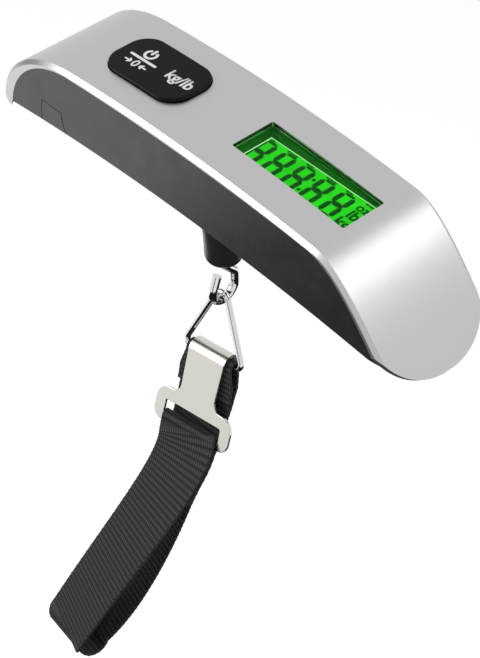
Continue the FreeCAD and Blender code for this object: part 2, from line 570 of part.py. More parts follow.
strain_gauges = [box(FLEX_X - GAUGE_LENGTH / 2, FLEX_X + GAUGE_LENGTH / 2, -GAUGE_WIDTH / 2, GAUGE_WIDTH / 2, z,
                     z + GAUGE_THICKNESS) for z in (BEAM_TOP, BEAM_FLOOR - GAUGE_THICKNESS)]
wire_z = BEAM_TOP + 0.35
gauge_wires = []
for y in (-1.8, -0.6, 0.6, 1.8):
    run = bent_wire([Vec(FLEX_X + GAUGE_LENGTH / 2, y, wire_z), Vec(FLEX_X + 7.5, y, wire_z),
                     Vec(FLEX_X + 7.5, y, BOARD_UNDER)], [1.2])
    gauge_wires.append(tube(run, 0.35))
washer_top = BEAM_TOP + WASHER_THICKNESS
swivel_washer = rod(WASHER_RADIUS, Vec(0, 0, BEAM_TOP), Vec(0, 0, washer_top)).cut(
    rod(SHANK_RADIUS + SHAFT_GAP, Vec(0, 0, 0), Vec(0, 0, MANY)))
swivel_nut = rod(NUT_RADIUS, Vec(0, 0, washer_top), Vec(0, 0, washer_top + NUT_HEIGHT)).cut(
    rod(SHANK_RADIUS, Vec(0, 0, 0), Vec(0, 0, MANY)))

# ---- hook ---------------------------------------------------------------------------------------------
BOWL_DROP = 10.3           # flat end of the neck to the middle of the bowl
bowl_z = neck_end - BOWL_DROP
bowl = HOOK_BOWL_RADIUS
hook_path = bent_wire([
    Vec(0, 0, washer_top + NUT_HEIGHT), Vec(0, 0, neck_end - 2.3), Vec(0, bowl, bowl_z + 3.3),
    Vec(0, bowl, bowl_z - bowl), Vec(0, -bowl, bowl_z - bowl), Vec(0, -bowl, bowl_z + 1.1),
    Vec(0, -bowl + 1.7, bowl_z + 5.6)], [2.4, 2.6, bowl, bowl, 3.0])
j_hook = tube(hook_path, SHANK_RADIUS)

# ---- triangle ring: built hanging straight down, apex at the bowl's inside ------------------------------
RING_SIDE_GAP = 0.15
ring_r = RING_WIRE / 2
apex_radius = SHANK_RADIUS + ring_r + 0.2
bowl_wire_z = bowl_z - bowl
apex_top = bowl_wire_z + SHANK_RADIUS + ring_r + RING_SIDE_GAP
bar_z = apex_top - RING_HEIGHT
base_half = (WEBBING_WIDTH + RING_SLACK) / 2 + ring_r


def apex_above():
    """Height of the two legs' meeting point above the apex bend, so that the bend has its radius."""
    high = 0.0
    for _ in range(60):
        half_angle = math.atan(base_half / (RING_HEIGHT + high))
        high = apex_radius * (1 / math.sin(half_angle) - 1)
    return high


vertex = Vec(0, 0, apex_top + apex_above())
corner_r = ring_r + 0.9
left, right = Vec(-base_half, 0, bar_z), Vec(base_half, 0, bar_z)
bar_start = Vec(0, 0, bar_z)
ring_path = bent_wire([bar_start, right, vertex, left, bar_start], [corner_r, apex_radius, corner_r])
triangle_ring = tube(ring_path, ring_r)

# ---- hook plate: sheet metal, curled over the ring's bar, front towards -Y; origin at the bar ------------
WRAP_GAP = 0.15
curl_inside = ring_r + WRAP_GAP + WEBBING_THICKNESS + 0.1
curl_outside = curl_inside + PLATE_THICKNESS
plate_mid = (curl_inside + curl_outside) / 2
NECK_END_Z = -12.9
SLOT_TOP_Z = -17.8
SLOT_HEIGHT = 4.3
BAR_HEIGHT = 2.4
SLOT_WIDTH = WEBBING_WIDTH + PLATE_SLOT_SLACK
PLATE_FRAME_WIDTH = SLOT_WIDTH + 2 * PLATE_SIDE_BAR
slot_low = SLOT_TOP_Z - SLOT_HEIGHT
plate_low = slot_low - BAR_HEIGHT


def plate_outline():
    """Face of the flat part: a neck that widens into a frame with rounded shoulders."""
    n, w, r = PLATE_NECK_WIDTH / 2, PLATE_FRAME_WIDTH / 2, 4.5
    y = -curl_outside
    top = NECK_END_Z - 1.0

    def at(x, z):
        return Vec(x, y, z)
    k = r * (1 - math.sqrt(0.5))
    edges = []
    for s in (1, -1):
        side = [line(at(s * n, 0), at(s * (n - 0.3), NECK_END_Z + 1.5)),
                arc(at(s * (n - 0.3), NECK_END_Z + 1.5), at(s * (n + 0.45), NECK_END_Z - 0.2), at(s * (n + 2.2), top)),
                line(at(s * (n + 2.2), top), at(s * (w - r), top)),
                arc(at(s * (w - r), top), at(s * (w - k), top - k), at(s * w, top - r)),
                line(at(s * w, top - r), at(s * w, plate_low + 3.0)),
                arc(at(s * w, plate_low + 3.0), at(s * (w - 0.88), plate_low + 0.88), at(s * (w - 3.0), plate_low))]
        edges += side
    edges.append(line(at(n, 0), at(-n, 0)))
    edges.append(line(at(w - 3.0, plate_low), at(-w + 3.0, plate_low)))
    return Part.Wire(Part.sortEdges(edges)[0])


flat = Part.Face(plate_outline()).extrude(Vec(0, PLATE_THICKNESS, 0))
slot_x = SLOT_WIDTH / 2
slot_tool = box(-slot_x, slot_x, -MANY, MANY, slot_low, SLOT_TOP_Z)
slot_tool = slot_tool.makeFillet(0.8, [e for e in slot_tool.Edges if e.BoundBox.YLength > MANY])
curl_start, curl_end = Vec(-PLATE_NECK_WIDTH / 2, 0, 0), Vec(PLATE_NECK_WIDTH / 2, 0, 0)
curl = rod(curl_outside, curl_start, curl_end).cut(rod(curl_inside, curl_start, curl_end))
curl = curl.cut(box(-MANY, MANY, -MANY, MANY, -MANY, 0))
flat = flat.cut(slot_tool)
rims = [e for e in flat.Edges if e.BoundBox.YLength < TOUCH and e.BoundBox.ZMin < -TOUCH]
flat = flat.makeFillet(PLATE_EDGE_RADIUS, rims)
hook_plate = join(flat, curl)

# ---- webbing: one ribbon from the ring's bar, round the loop and back through the plate's slot -----------
FOLD = Vec(-16.5, -13.5, -95.1)   # middle of the loop's bottom fold, from the ring's bar
FOLD_RADIUS = 4.5
FOLD_TWIST = -17.5                 # turn of the webbing between the bar and the fold, degrees
RING_TAIL = 11.0                   # short end below the ring's bar
SLOT_TAIL = 13.0                   # short end below the plate's slot
PLY_PITCH = WEBBING_THICKNESS + 0.12
RING_PINCH = 1.4                   # each edge drawn in between the ring's legs, over the bar
PINCH_START, PINCH_END = 1.0, 6.0  # below the bar: full pinch, and full width again
ribbon = []                        # stations: (place, way along the ribbon, twist in degrees)


def bezier_points(a, b, c, d, count):
    """Places and ways on a cubic curve, ends included."""
    out = []
    for i in range(count):
        t = i / (count - 1)
        s = 1 - t
        place = a * s**3 + b * (3 * s * s * t) + c * (3 * s * t * t) + d * t**3
        way = (b - a) * (3 * s * s) + (c - b) * (6 * s * t) + (d - c) * (3 * t * t)
        out.append((place, way.normalize()))
    return out


def arc_points(centre, radius, out_way, start_way, from_angle, to_angle, count):
    """Places and ways on an arc; out_way is at angle 0 and start_way at 90 degrees."""
    out = []
    turn = 1 if to_angle > from_angle else -1
    for i in range(count):
        a = math.radians(from_angle + (to_angle - from_angle) * i / (count - 1))
        place = centre + out_way * (radius * math.cos(a)) + start_way * (radius * math.sin(a))
        way = (start_way * math.cos(a) - out_way * math.sin(a)) * turn
        out.append((place, way))
    return out


wrap_r = ring_r + WRAP_GAP + WEBBING_THICKNESS / 2
back, up = Vec(0, 1, 0), Vec(0, 0, 1)
tail_y = -PLY_PITCH / 2
for place, way in bezier_points(Vec(0, tail_y, -RING_TAIL), Vec(0, tail_y, -7.0), Vec(0, -wrap_r, -4.5),
                                Vec(0, -wrap_r, 0), 7):
    ribbon.append((place, way, 0.0))
for place, way in arc_points(Vec(0, 0, 0), wrap_r, back, up, 180, 0, 9)[1:]:
    ribbon.append((place, way, 0.0))
for place, way in bezier_points(Vec(0, wrap_r, 0), Vec(0, wrap_r, -4.5), Vec(0, -tail_y, -7.0),
                                Vec(0, -tail_y, -RING_TAIL), 7)[1:]:
    ribbon.append((place, way, 0.0))
twist = math.radians(FOLD_TWIST)
across = Vec(-math.sin(twist), math.cos(twist), 0)
back_end = FOLD + across * FOLD_RADIUS
back_ply = bezier_points(Vec(0, -tail_y, -RING_TAIL), Vec(-1.2, 0.9, -38.4),
                         Vec(-8.2, 0.8, -78.8), back_end, 15)[1:]
for i, (place, way) in enumerate(back_ply):
    ribbon.append((place, way, FOLD_TWIST * min(1.0, (i + 1) / 5)))
fold_way = back_ply[-1][1]
for place, way in arc_points(FOLD, FOLD_RADIUS, across, up, 0, -180, 13)[1:]:
    ribbon.append((place, way, FOLD_TWIST))
bar_mid = Vec(0, -plate_mid, slot_low - BAR_HEIGHT / 2)
slot_r = PLATE_THICKNESS / 2 + 0.12 + WEBBING_THICKNESS / 2
front_start = Vec(0, -plate_mid - slot_r, slot_low - BAR_HEIGHT / 2)
front_ply = bezier_points(FOLD - across * FOLD_RADIUS, Vec(-1.4, -18.5, -53.0), Vec(4.0, -5.9, -32.4),
                          front_start, 15)
for i, (place, way) in enumerate(front_ply[1:]):
    ribbon.append((place, way, FOLD_TWIST * (1 - (i + 1) / 14)))
turn_mid = Vec(0, -plate_mid, slot_low - 0.3)
ribbon.append((Vec(0, -plate_mid - slot_r, turn_mid.z), up, 0.0))
for place, way in arc_points(turn_mid, slot_r, back, up, 180, 0, 9)[1:]:
    ribbon.append((place, way, 0.0))
ribbon.append((Vec(0, -plate_mid + slot_r, plate_low), up * -1, 0.0))
for i, (place, way) in enumerate(reversed(front_ply[:-1])):
    if place.z < plate_low - 2.0 and place.z > plate_low - 2.0 - SLOT_TAIL:
        turned = FOLD_TWIST * (i + 1) / 14
        w = Vec(math.cos(math.radians(turned)), math.sin(math.radians(turned)), 0)
        off = way.cross(w).normalize()
        if off.y < 0:
            off = off * -1
        ribbon.append((place + off * PLY_PITCH, way * -1, turned))


def ribbon_section(place, way, turned):
    """Cross-section of the webbing at one station."""
    a = math.radians(turned)
    w = Vec(math.cos(a), math.sin(a), 0)
    w = (w - way * w.dot(way)).normalize()
    n = w.cross(way).normalize()
    pinch = RING_PINCH * min(1.0, max(0.0, (place.z + PINCH_END) / (PINCH_END - PINCH_START)))
    h, t = WEBBING_WIDTH / 2 - pinch, WEBBING_THICKNESS / 2
    return Part.makePolygon([place + w * h + n * t, place - w * h + n * t, place - w * h - n * t,
                             place + w * h - n * t, place + w * h + n * t])


webbing = Part.makeLoft([ribbon_section(*station) for station in ribbon], True, True)

THREAD_RADIUS = 0.25
stitching = []
for z in (-RING_TAIL + 1.5, -RING_TAIL + 4.0):
    for i in range(7):
        x = -7.5 + 2.5 * i
        stitching.append(rod(THREAD_RADIUS, Vec(x, -PLY_PITCH - 0.1, z), Vec(x, PLY_PITCH + 0.1, z)))

# ---- put the hanging pieces in their stored pose -----------------------------------------------------------
bowl_mid = Vec(0, 0, bowl_z)
bowl_wire = Vec(0, 0, bowl_wire_z)
x_way, z_way = Vec(1, 0, 0), Vec(0, 0, 1)


def swing_plate(shape):
    """From the plate's own frame, with its origin on the ring's bar, to the row's frame."""
    shape.rotate(Vec(0, 0, 0), x_way, PLATE_LEAN - RING_LEAN)
    shape.translate(bar_start)
    return swing_ring(shape)


def swing_ring(shape):
    shape.rotate(bowl_wire, y_way, RING_ROCK)
    shape.rotate(bowl_mid, x_way, RING_LEAN)
    return turn_hook(shape)


def turn_hook(shape):
    shape.rotate(Vec(0, 0, 0), z_way, YAW)
    return shape


bar_marks = swing_ring(Part.makePolygon([left, right]))
bar_mid_point = (bar_marks.Vertexes[0].Point + bar_marks.Vertexes[1].Point) * 0.5
bar_axis = (bar_marks.Vertexes[1].Point - bar_marks.Vertexes[0].Point).normalize()
ring_axis = turn_hook(Part.makePolygon([Vec(0, 0, 0), x_way])).Vertexes[1].Point
print("ring hinge at", (0, 0, bowl_z), "axis", tuple(ring_axis))
print("plate hinge at", tuple(bar_mid_point), "axis", tuple(bar_axis))
print("door hinge at", tuple(door_pivot), " key hinge at", (KEY_CENTRE, 0, KEY_PIN_Z))
print("fold at", tuple(swing_plate(Part.Vertex(FOLD)).Point))

# ---- screws ----------------------------------------------------------------------------------------------
case_screws = [screw(CASE_SCREW_HEAD, 1.3, CASE_SCREW_RADIUS, CASE_SCREW_LENGTH,
                     Vec(x, y, CASE_POST_SPLIT - 1.6), z_way) for x, y in case_screw_places]
board_screws = [screw(BOARD_SCREW_HEAD, 0.9, BOARD_SCREW_RADIUS, BOARD_SCREW_LENGTH,
                      Vec(x, y, BOARD_UNDER), z_way) for x, y in board_screw_places]
beam_screws = [screw(2.6, 1.8, BEAM_SCREW_RADIUS, BEAM_SCREW_LENGTH, Vec(x, 0, BEAM_TOP), z_way * -1)
               for x in beam_screw_xs]

# ---- one file per node -------------------------------------------------------------------------------------
export("top_cover", cover)
export("lower_case", case)
export("battery_door", battery_door)
export("coin_cell", coin_cell)
export("cell_cradle", cradle)
export("centre_contact", centre_contact)
export("side_contact", side_contact)
export("key_cap", key_cap)
export("key_switches", *key_switches)
export("circuit_board", circuit_board)
export("controller_chip", controller_chip)
export("amplifier_chip", amplifier_chip)
export("passives", *passives)
export("display_window", display_window)
export("lcd_glass", lcd_glass)
export("backlight", backlight)
export("contact_strips", *contact_strips)
export("display_frame", display_frame)
export("load_cell", load_cell)
export("strain_gauges", *strain_gauges)
export("gauge_wires", *gauge_wires)
export("neck_bush", neck_bush)
export("swivel_washer", swivel_washer)
export("swivel_nut", swivel_nut)
export("j_hook", turn_hook(j_hook))
export("triangle_ring", swing_ring(triangle_ring))
export("hook_plate", swing_plate(hook_plate))
export("webbing", swing_plate(webbing))
export("stitching", *[swing_plate(s) for s in stitching])
export("case_screws", *case_screws)
export("board_screws", *board_screws)
export("beam_screws", *beam_screws)
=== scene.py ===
import math

import bmesh
import bpy
import numpy as np
from mathutils import Matrix, Vector


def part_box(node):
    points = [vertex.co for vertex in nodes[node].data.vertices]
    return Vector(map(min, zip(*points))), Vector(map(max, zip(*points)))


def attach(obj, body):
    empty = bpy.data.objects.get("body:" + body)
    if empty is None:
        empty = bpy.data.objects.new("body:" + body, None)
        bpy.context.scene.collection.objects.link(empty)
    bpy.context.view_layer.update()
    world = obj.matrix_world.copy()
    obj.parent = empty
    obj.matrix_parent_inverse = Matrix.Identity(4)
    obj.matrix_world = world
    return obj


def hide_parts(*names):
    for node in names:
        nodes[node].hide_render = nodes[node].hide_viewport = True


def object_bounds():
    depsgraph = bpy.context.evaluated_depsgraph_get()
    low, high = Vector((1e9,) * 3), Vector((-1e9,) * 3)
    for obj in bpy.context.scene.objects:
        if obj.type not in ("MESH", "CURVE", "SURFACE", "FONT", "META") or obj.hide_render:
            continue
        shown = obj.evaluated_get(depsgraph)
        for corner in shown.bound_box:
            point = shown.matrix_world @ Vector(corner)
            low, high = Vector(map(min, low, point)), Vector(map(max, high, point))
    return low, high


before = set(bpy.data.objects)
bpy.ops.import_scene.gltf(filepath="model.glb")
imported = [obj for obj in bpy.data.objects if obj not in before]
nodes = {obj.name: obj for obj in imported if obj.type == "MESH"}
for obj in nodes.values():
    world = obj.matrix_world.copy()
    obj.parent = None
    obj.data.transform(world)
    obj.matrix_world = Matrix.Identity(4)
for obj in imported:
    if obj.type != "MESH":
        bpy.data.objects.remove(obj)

MM = 0.001
cad_box = [list(corner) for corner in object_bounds()]
scene = bpy.context.scene

# ---- camera ---------------------------------------------------------------------------------------
# A long lens above the near side of the body, looking down across it with the display end to the right.
EYE = (0.31797, -0.28440, 0.35575)
VIEW_AZIMUTH = math.radians(47.6)
VIEW_ELEVATION = math.radians(43.6)
SENSOR = 36.0
FOCAL_HEIGHTS = 3.19149             # focal length over the height of the frame
camera = bpy.data.objects.new("view", bpy.data.cameras.new("view"))
camera.data.sensor_fit = "VERTICAL"
camera.data.sensor_height = SENSOR
camera.data.lens = SENSOR * FOCAL_HEIGHTS
camera.data.clip_start = 0.01
camera.location = EYE
camera.rotation_euler = (math.pi / 2 - VIEW_ELEVATION, 0, VIEW_AZIMUTH)
scene.collection.objects.link(camera)
scene.camera = camera
scene.view_settings.view_transform = "Standard"


# ---- studio ---------------------------------------------------------------------------------------
# A plain white floor well below the hanging scale, two soft lamps, and dark cards that only reflections
# see, as a product studio stands them to draw the edges of chrome and gloss.
def link(tree, start, end):
    tree.links.new(start, end)


def new_material(name):
    """An empty node material with its output."""
    material = bpy.data.materials.new(name)
    material.use_nodes = True
    tree = material.node_tree
    tree.nodes.clear()
    return material, tree, tree.nodes.new("ShaderNodeOutputMaterial")


def seen_directly(tree):
    """1 where a camera, glossy or transmission ray looks, and 0 where light is gathered."""
    path = tree.nodes.new("ShaderNodeLightPath")
    total = None
    for ray in ("Is Camera Ray", "Is Glossy Ray", "Is Transmission Ray"):
        if total is None:
            total = path.outputs[ray]
            continue
        most = tree.nodes.new("ShaderNodeMath")
        most.operation = "MAXIMUM"
        link(tree, total, most.inputs[0])
        link(tree, path.outputs[ray], most.inputs[1])
        total = most.outputs[0]
    return total


def flat_sheet(name, centre, facing, width, height):
    """A rectangle of width x height about centre, whose normal is facing."""
    facing = Vector(facing).normalized()
    turn = facing.to_track_quat("Z", "Y").to_matrix()
    corners = [(-0.5, -0.5), (0.5, -0.5), (0.5, 0.5), (-0.5, 0.5)]
    points = [Vector(centre) + turn @ Vector((a * width, b * height, 0)) for a, b in corners]
    mesh = bpy.data.meshes.new(name)
    mesh.from_pydata([tuple(p) for p in points], [], [(0, 1, 2, 3)])
    sheet = bpy.data.objects.new(name, mesh)
    scene.collection.objects.link(sheet)
    return sheet


FLOOR_DROP = 0.16                   # floor below the lowest point of the strap
FLOOR_SPAN = 12.0
FLOOR_WHITE = (0.8, 0.8, 0.8, 1)
FLOOR_GLOW = 0.46
floor_z = cad_box[0][2] - FLOOR_DROP
floor_look, tree, out = new_material("floor_white")
matt = tree.nodes.new("ShaderNodeBsdfDiffuse")
matt.inputs["Color"].default_value = FLOOR_WHITE
glow = tree.nodes.new("ShaderNodeEmission")
glow_level = tree.nodes.new("ShaderNodeMath")
glow_level.operation = "MULTIPLY"
glow_level.inputs[1].default_value = FLOOR_GLOW
link(tree, seen_directly(tree), glow_level.inputs[0])
link(tree, glow_level.outputs[0], glow.inputs["Strength"])
both = tree.nodes.new("ShaderNodeAddShader")
link(tree, matt.outputs[0], both.inputs[0])
link(tree, glow.outputs[0], both.inputs[1])
link(tree, both.outputs[0], out.inputs["Surface"])
floor = flat_sheet("floor", (0, 0, floor_z), (0, 0, 1), FLOOR_SPAN, FLOOR_SPAN)
floor.data.materials.append(floor_look)

ROOM_LIGHT = 0.62
world = bpy.data.worlds.new("studio")
world.use_nodes = True
scene.world = world
tree = world.node_tree
tree.nodes.clear()
room_out = tree.nodes.new("ShaderNodeOutputWorld")
room = tree.nodes.new("ShaderNodeBackground")
room_level = tree.nodes.new("ShaderNodeMapRange")
room_level.inputs["To Min"].default_value = ROOM_LIGHT
room_level.inputs["To Max"].default_value = 1.0
link(tree, seen_directly(tree), room_level.inputs["Value"])
link(tree, room_level.outputs["Result"], room.inputs["Strength"])
link(tree, room.outputs[0], room_out.inputs["Surface"])


def softbox(name, direction, distance, width, height, watts):
    """A rectangular lamp that looks at the swivel from a direction, `distance` away."""
    way = Vector(direction).normalized()
    lamp = bpy.data.objects.new(name, bpy.data.lights.new(name, "AREA"))
    lamp.data.shape = "RECTANGLE"
    lamp.data.size = width
    lamp.data.size_y = height
    lamp.data.energy = watts
    lamp.location = way * distance
    lamp.rotation_euler = way.to_track_quat("Z", "Y").to_euler()
    lamp.visible_camera = False
    scene.collection.objects.link(lamp)


LAMP_DISTANCE = 0.8
softbox("front_left_softbox", (-0.535, -0.69, 0.49), LAMP_DISTANCE, 0.5, 0.5, 3.0)
softbox("far_right_softbox", (0.62, 0.49, 0.60), LAMP_DISTANCE, 0.62, 0.30, 1.1)


def card(name, centre, facing, width, height, shade):
    """A matt card that only reflections see."""
    look, tree, out = new_material(name)
    matt = tree.nodes.new("ShaderNodeBsdfDiffuse")
    matt.inputs["Color"].default_value = (shade, shade, shade, 1)
    link(tree, matt.outputs[0], out.inputs["Surface"])
    sheet = flat_sheet(name, centre, facing, width, height)
    sheet.data.materials.append(look)
    sheet.visible_camera = False
    sheet.visible_diffuse = False
    sheet.visible_shadow = False


# The nose's card draws the grey band below its highlight; the floor's fades the case's side to black
# towards the nose, and the upright ones streak the hook and the ring.
GREY, BLACK, DEEP_BLACK = 0.22, 0.02, 0.015
CARD_LIFT = 0.02
card("nose_card", (0.45, 0.29, 0.255), (-0.8, -0.5, -0.4), 0.6, 0.06, GREY)
card("floor_card", (0.13, -0.30, floor_z + CARD_LIFT), (0, 0, 1), 0.76, 1.1, DEEP_BLACK)
card("near_card", (0.20, -0.55, -0.05), (-0.2, 1, 0), 0.16, 0.40, BLACK)
card("tail_card", (-0.50, -0.12, -0.02), (1, 0.2, 0), 0.18, 0.36, BLACK)
card("far_card", (0.06, 0.50, -0.04), (0, -1, 0), 0.12, 0.36, BLACK)


# ---- lower case -----------------------------------------------------------------------------------
# The black ABS shell under the cover, moulded in one piece with the neck. Its sides are spark-eroded
# to a fine grain, so that they look grey where light grazes them.
BROADER = 20                        # period of the noise for handling, over the fine noise's


def surface(name, colour, roughness, metallic=0.0, grain=0.6, mottle=0.08, dimple=0.004, shine=0.5,
            stretch=(1, 1, 1)):
    """A finish whose colour and roughness drift by `mottle` of their value. Fine noise of period
    `grain` mm tints it and dimples it by `dimple` mm, and broad noise stands for handling. `shine` is
    the specular level, and a `stretch` below 1 draws the fine noise out along that axis."""
    look, tree, out = new_material(name)
    shader = tree.nodes.new("ShaderNodeBsdfPrincipled")
    shader.inputs["Metallic"].default_value = metallic
    shader.inputs["Specular IOR Level"].default_value = shine
    place = tree.nodes.new("ShaderNodeTexCoord")
    scale = tree.nodes.new("ShaderNodeMapping")
    scale.inputs["Scale"].default_value = stretch
    link(tree, place.outputs["Object"], scale.inputs["Vector"])
    fine = tree.nodes.new("ShaderNodeTexNoise")
    fine.inputs["Scale"].default_value = 1 / (grain * MM)
    fine.inputs["Detail"].default_value = 3.0
    broad = tree.nodes.new("ShaderNodeTexNoise")
    broad.inputs["Scale"].default_value = 1 / (BROADER * grain * MM)
    broad.inputs["Detail"].default_value = 4.0
    link(tree, scale.outputs["Vector"], fine.inputs["Vector"])
    link(tree, place.outputs["Object"], broad.inputs["Vector"])
    tint = tree.nodes.new("ShaderNodeMix")
    tint.data_type = "RGBA"
    darker = [c * (1 - mottle) for c in colour]
    lighter = [min(1.0, c * (1 + mottle)) for c in colour]
    tint.inputs["A"].default_value = (*darker, 1)
    tint.inputs["B"].default_value = (*lighter, 1)
    link(tree, fine.outputs["Fac"], tint.inputs["Factor"])
    link(tree, tint.outputs["Result"], shader.inputs["Base Color"])
    rough = tree.nodes.new("ShaderNodeMapRange")
    rough.inputs["From Min"].default_value = 0.3
    rough.inputs["From Max"].default_value = 0.7
    rough.inputs["To Min"].default_value = roughness * (1 - mottle)
    rough.inputs["To Max"].default_value = roughness * (1 + mottle)
    link(tree, broad.outputs["Fac"], rough.inputs["Value"])
    link(tree, rough.outputs["Result"], shader.inputs["Roughness"])
    bump = tree.nodes.new("ShaderNodeBump")
    bump.inputs["Distance"].default_value = dimple * MM
    link(tree, fine.outputs["Fac"], bump.inputs["Height"])
    link(tree, bump.outputs["Normal"], shader.inputs["Normal"])
    link(tree, shader.outputs[0], out.inputs["Surface"])
    return look


def finish(name, look):
    """Give a piece one material."""
    piece = nodes[name] if isinstance(name, str) else name
    piece.data.materials.clear()
    piece.data.materials.append(look)


grained_black = surface("grained_black", (0.024, 0.024, 0.025), 0.30, grain=0.35, mottle=0.15, dimple=0.008)
finish("lower_case", grained_black)

# ---- battery door ---------------------------------------------------------------------------------
# The same black ABS: a saddle that wraps under the tail, with a finger ear on each side and a tongue
# that turns on two stub pins.
finish("battery_door", grained_black)

# ---- coin cell, its cradle and its contacts ---------------------------------------------------------
# A nickel-plated steel cell in a black moulded cradle, between a bent leaf over it and one at its side.
finish("coin_cell", surface("cell_nickel", (0.72, 0.71, 0.69), 0.28, metallic=1.0, grain=0.3))
black_nylon = surface("black_nylon", (0.025, 0.025, 0.027), 0.5, grain=0.8)
finish("cell_cradle", black_nylon)
leaf_steel = surface("leaf_steel", (0.62, 0.60, 0.56), 0.3, metallic=1.0, grain=0.25, stretch=(0.1, 1, 1))
finish("centre_contact", leaf_steel)
finish("side_contact", leaf_steel)

# ---- circuit board and what is soldered to it -------------------------------------------------------
# Glass-epoxy board under green solder mask, with the controller under a black blob, the amplifier, a few
# small chips and the two press switches under the key.
finish("circuit_board", surface("solder_mask", (0.015, 0.13, 0.05), 0.32, grain=0.5, mottle=0.2))
chip_epoxy = surface("chip_epoxy", (0.018, 0.018, 0.020), 0.45, grain=0.3)
finish("controller_chip", chip_epoxy)
finish("amplifier_chip", chip_epoxy)
finish("passives", surface("chip_ceramic", (0.30, 0.20, 0.12), 0.4, grain=0.4))
finish("key_switches", surface("switch_nylon", (0.05, 0.05, 0.055), 0.45, grain=0.4))

# ---- load cell, its gauges and its wires ------------------------------------------------------------
# A milled aluminium bending beam with a foil gauge above and below its thinned middle, and four wires
# up to the board.
finish("load_cell", surface("milled_aluminium", (0.74, 0.75, 0.76), 0.35, metallic=1.0, grain=0.25,
                            dimple=0.01, stretch=(0.08, 1, 1)))
finish("strain_gauges", surface("gauge_foil", (0.62, 0.30, 0.07), 0.3, grain=0.3, mottle=0.15))
finish("gauge_wires", surface("wire_jacket", (0.55, 0.03, 0.02), 0.4, grain=0.5))

# ---- screws, washer, nut and neck bush --------------------------------------------------------------
# Zinc-plated steel fasteners, and a white acetal bush that the hook's shank turns in.
zinc = surface("zinc_plate", (0.62, 0.62, 0.60), 0.3, metallic=1.0, grain=0.3)
for fastener in ("case_screws", "board_screws", "beam_screws", "swivel_washer", "swivel_nut"):
    finish(fastener, zinc)
finish("neck_bush", surface("acetal", (0.80, 0.80, 0.78), 0.35, grain=0.6))

# ---- top cover --------------------------------------------------------------------------------------
# An ABS shell under satin silver paint with fine metal flake, over the crown, the tail and the nose.
finish("top_cover", surface("satin_silver", (0.61, 0.61, 0.615), 0.36, metallic=0.92, grain=0.12,
                            mottle=0.03, dimple=0.0012))

# ---- key --------------------------------------------------------------------------------------------
# One satin black rocker cap over two switches, with white marks printed on its face: the standby sign
# over a bar and a nought between arrows, and the two units.
finish("key_cap", surface("satin_black", (0.004, 0.004, 0.0045), 0.34, grain=0.5, mottle=0.2, dimple=0.002,
                            shine=0.10))

INK = 0.03 * MM
CLEAR = 1 * MM                      # how far over the key a print starts before it is laid on


def flat_mesh(name, points, faces):
    mesh = bpy.data.meshes.new(name)
    mesh.from_pydata(points, [], faces)
    return mesh


def stroke(a, b, width, ends=8):
    """Outline of a straight stroke from a to b: two half circles of `width` joined by straight sides."""
    a, b = np.array(a, float), np.array(b, float)
    lean = math.atan2(*(b - a)[::-1])
    turn = np.linspace(-math.pi / 2, math.pi / 2, ends)
    far = b + width / 2 * np.column_stack([np.cos(lean + turn), np.sin(lean + turn)])
    near = a + width / 2 * np.column_stack([np.cos(lean + turn + math.pi), np.sin(lean + turn + math.pi)])
    return np.vstack([far, near])


def ring_stroke(centre, radius, start, end, width, steps=28):
    """Outline of an arc stroke: the outer arc from start to end degrees, then the inner one back."""
    turn = np.radians(np.linspace(start, end, steps))
    round_way = np.column_stack([np.cos(turn), np.sin(turn)])
    outer = np.array(centre) + (radius + width / 2) * round_way
    inner = np.array(centre) + (radius - width / 2) * round_way[::-1]
    return np.vstack([outer, inner])


BOLDER = 0.025                      # how far a letter's outline is pushed out, over its height


def word(text, centre, height, squeeze=1.0):
    """Flat mesh of a short word: `height` is its font size and `squeeze` its width's share."""
    font = bpy.data.curves.new(text, "FONT")
    font.body = text
    font.size = height
    font.align_x = "CENTER"
    font.align_y = "CENTER"
    font.offset = height * BOLDER
    font.resolution_u = 4
    writer = bpy.data.objects.new(text, font)
    scene.collection.objects.link(writer)
    bpy.context.view_layer.update()
    mesh = bpy.data.meshes.new_from_object(writer.evaluated_get(bpy.context.evaluated_depsgraph_get()))
    bpy.data.objects.remove(writer)
    mesh.transform(Matrix.Translation((centre[0], centre[1], 0)) @ Matrix.Diagonal((squeeze, 1, 1, 1)))
    return mesh


def outline_mesh(name, outline):
    """One face inside an outline."""
    points = np.column_stack([outline, np.zeros(len(outline))])
    return flat_mesh(name, points.tolist(), [tuple(range(len(points)))])


def strip_mesh(name, outline):
    """Quads between the two halves of an arc stroke's outline, whose second half runs back."""
    count = len(outline) // 2
    points = np.column_stack([outline, np.zeros(len(outline))])
    i = np.arange(count - 1)
    faces = np.column_stack([i, i + 1, 2 * count - 2 - i, 2 * count - 1 - i])
    return flat_mesh(name, points.tolist(), faces.tolist())


def gather(name, meshes, z):
    """One object at the origin from several flat meshes, lifted to z, facing up."""
    whole = bmesh.new()
    for mesh in meshes:
        whole.from_mesh(mesh)
        bpy.data.meshes.remove(mesh)
    bmesh.ops.translate(whole, verts=whole.verts, vec=(0, 0, z))
    bmesh.ops.remove_doubles(whole, verts=whole.verts, dist=1e-6)
    for face in whole.faces:
        face.normal_update()
        if face.normal.z < 0:
            face.normal_flip()
    bmesh.ops.triangulate(whole, faces=whole.faces)
    mesh = bpy.data.meshes.new(name)
    whole.to_mesh(mesh)
    whole.free()
    piece = bpy.data.objects.new(name, mesh)
    scene.collection.objects.link(piece)
    return piece


def work_in(piece):
    """Put the piece's modifiers into its mesh."""
    graph = bpy.context.evaluated_depsgraph_get()
    mesh = bpy.data.meshes.new_from_object(piece.evaluated_get(graph))
    piece.modifiers.clear()
    piece.data = mesh


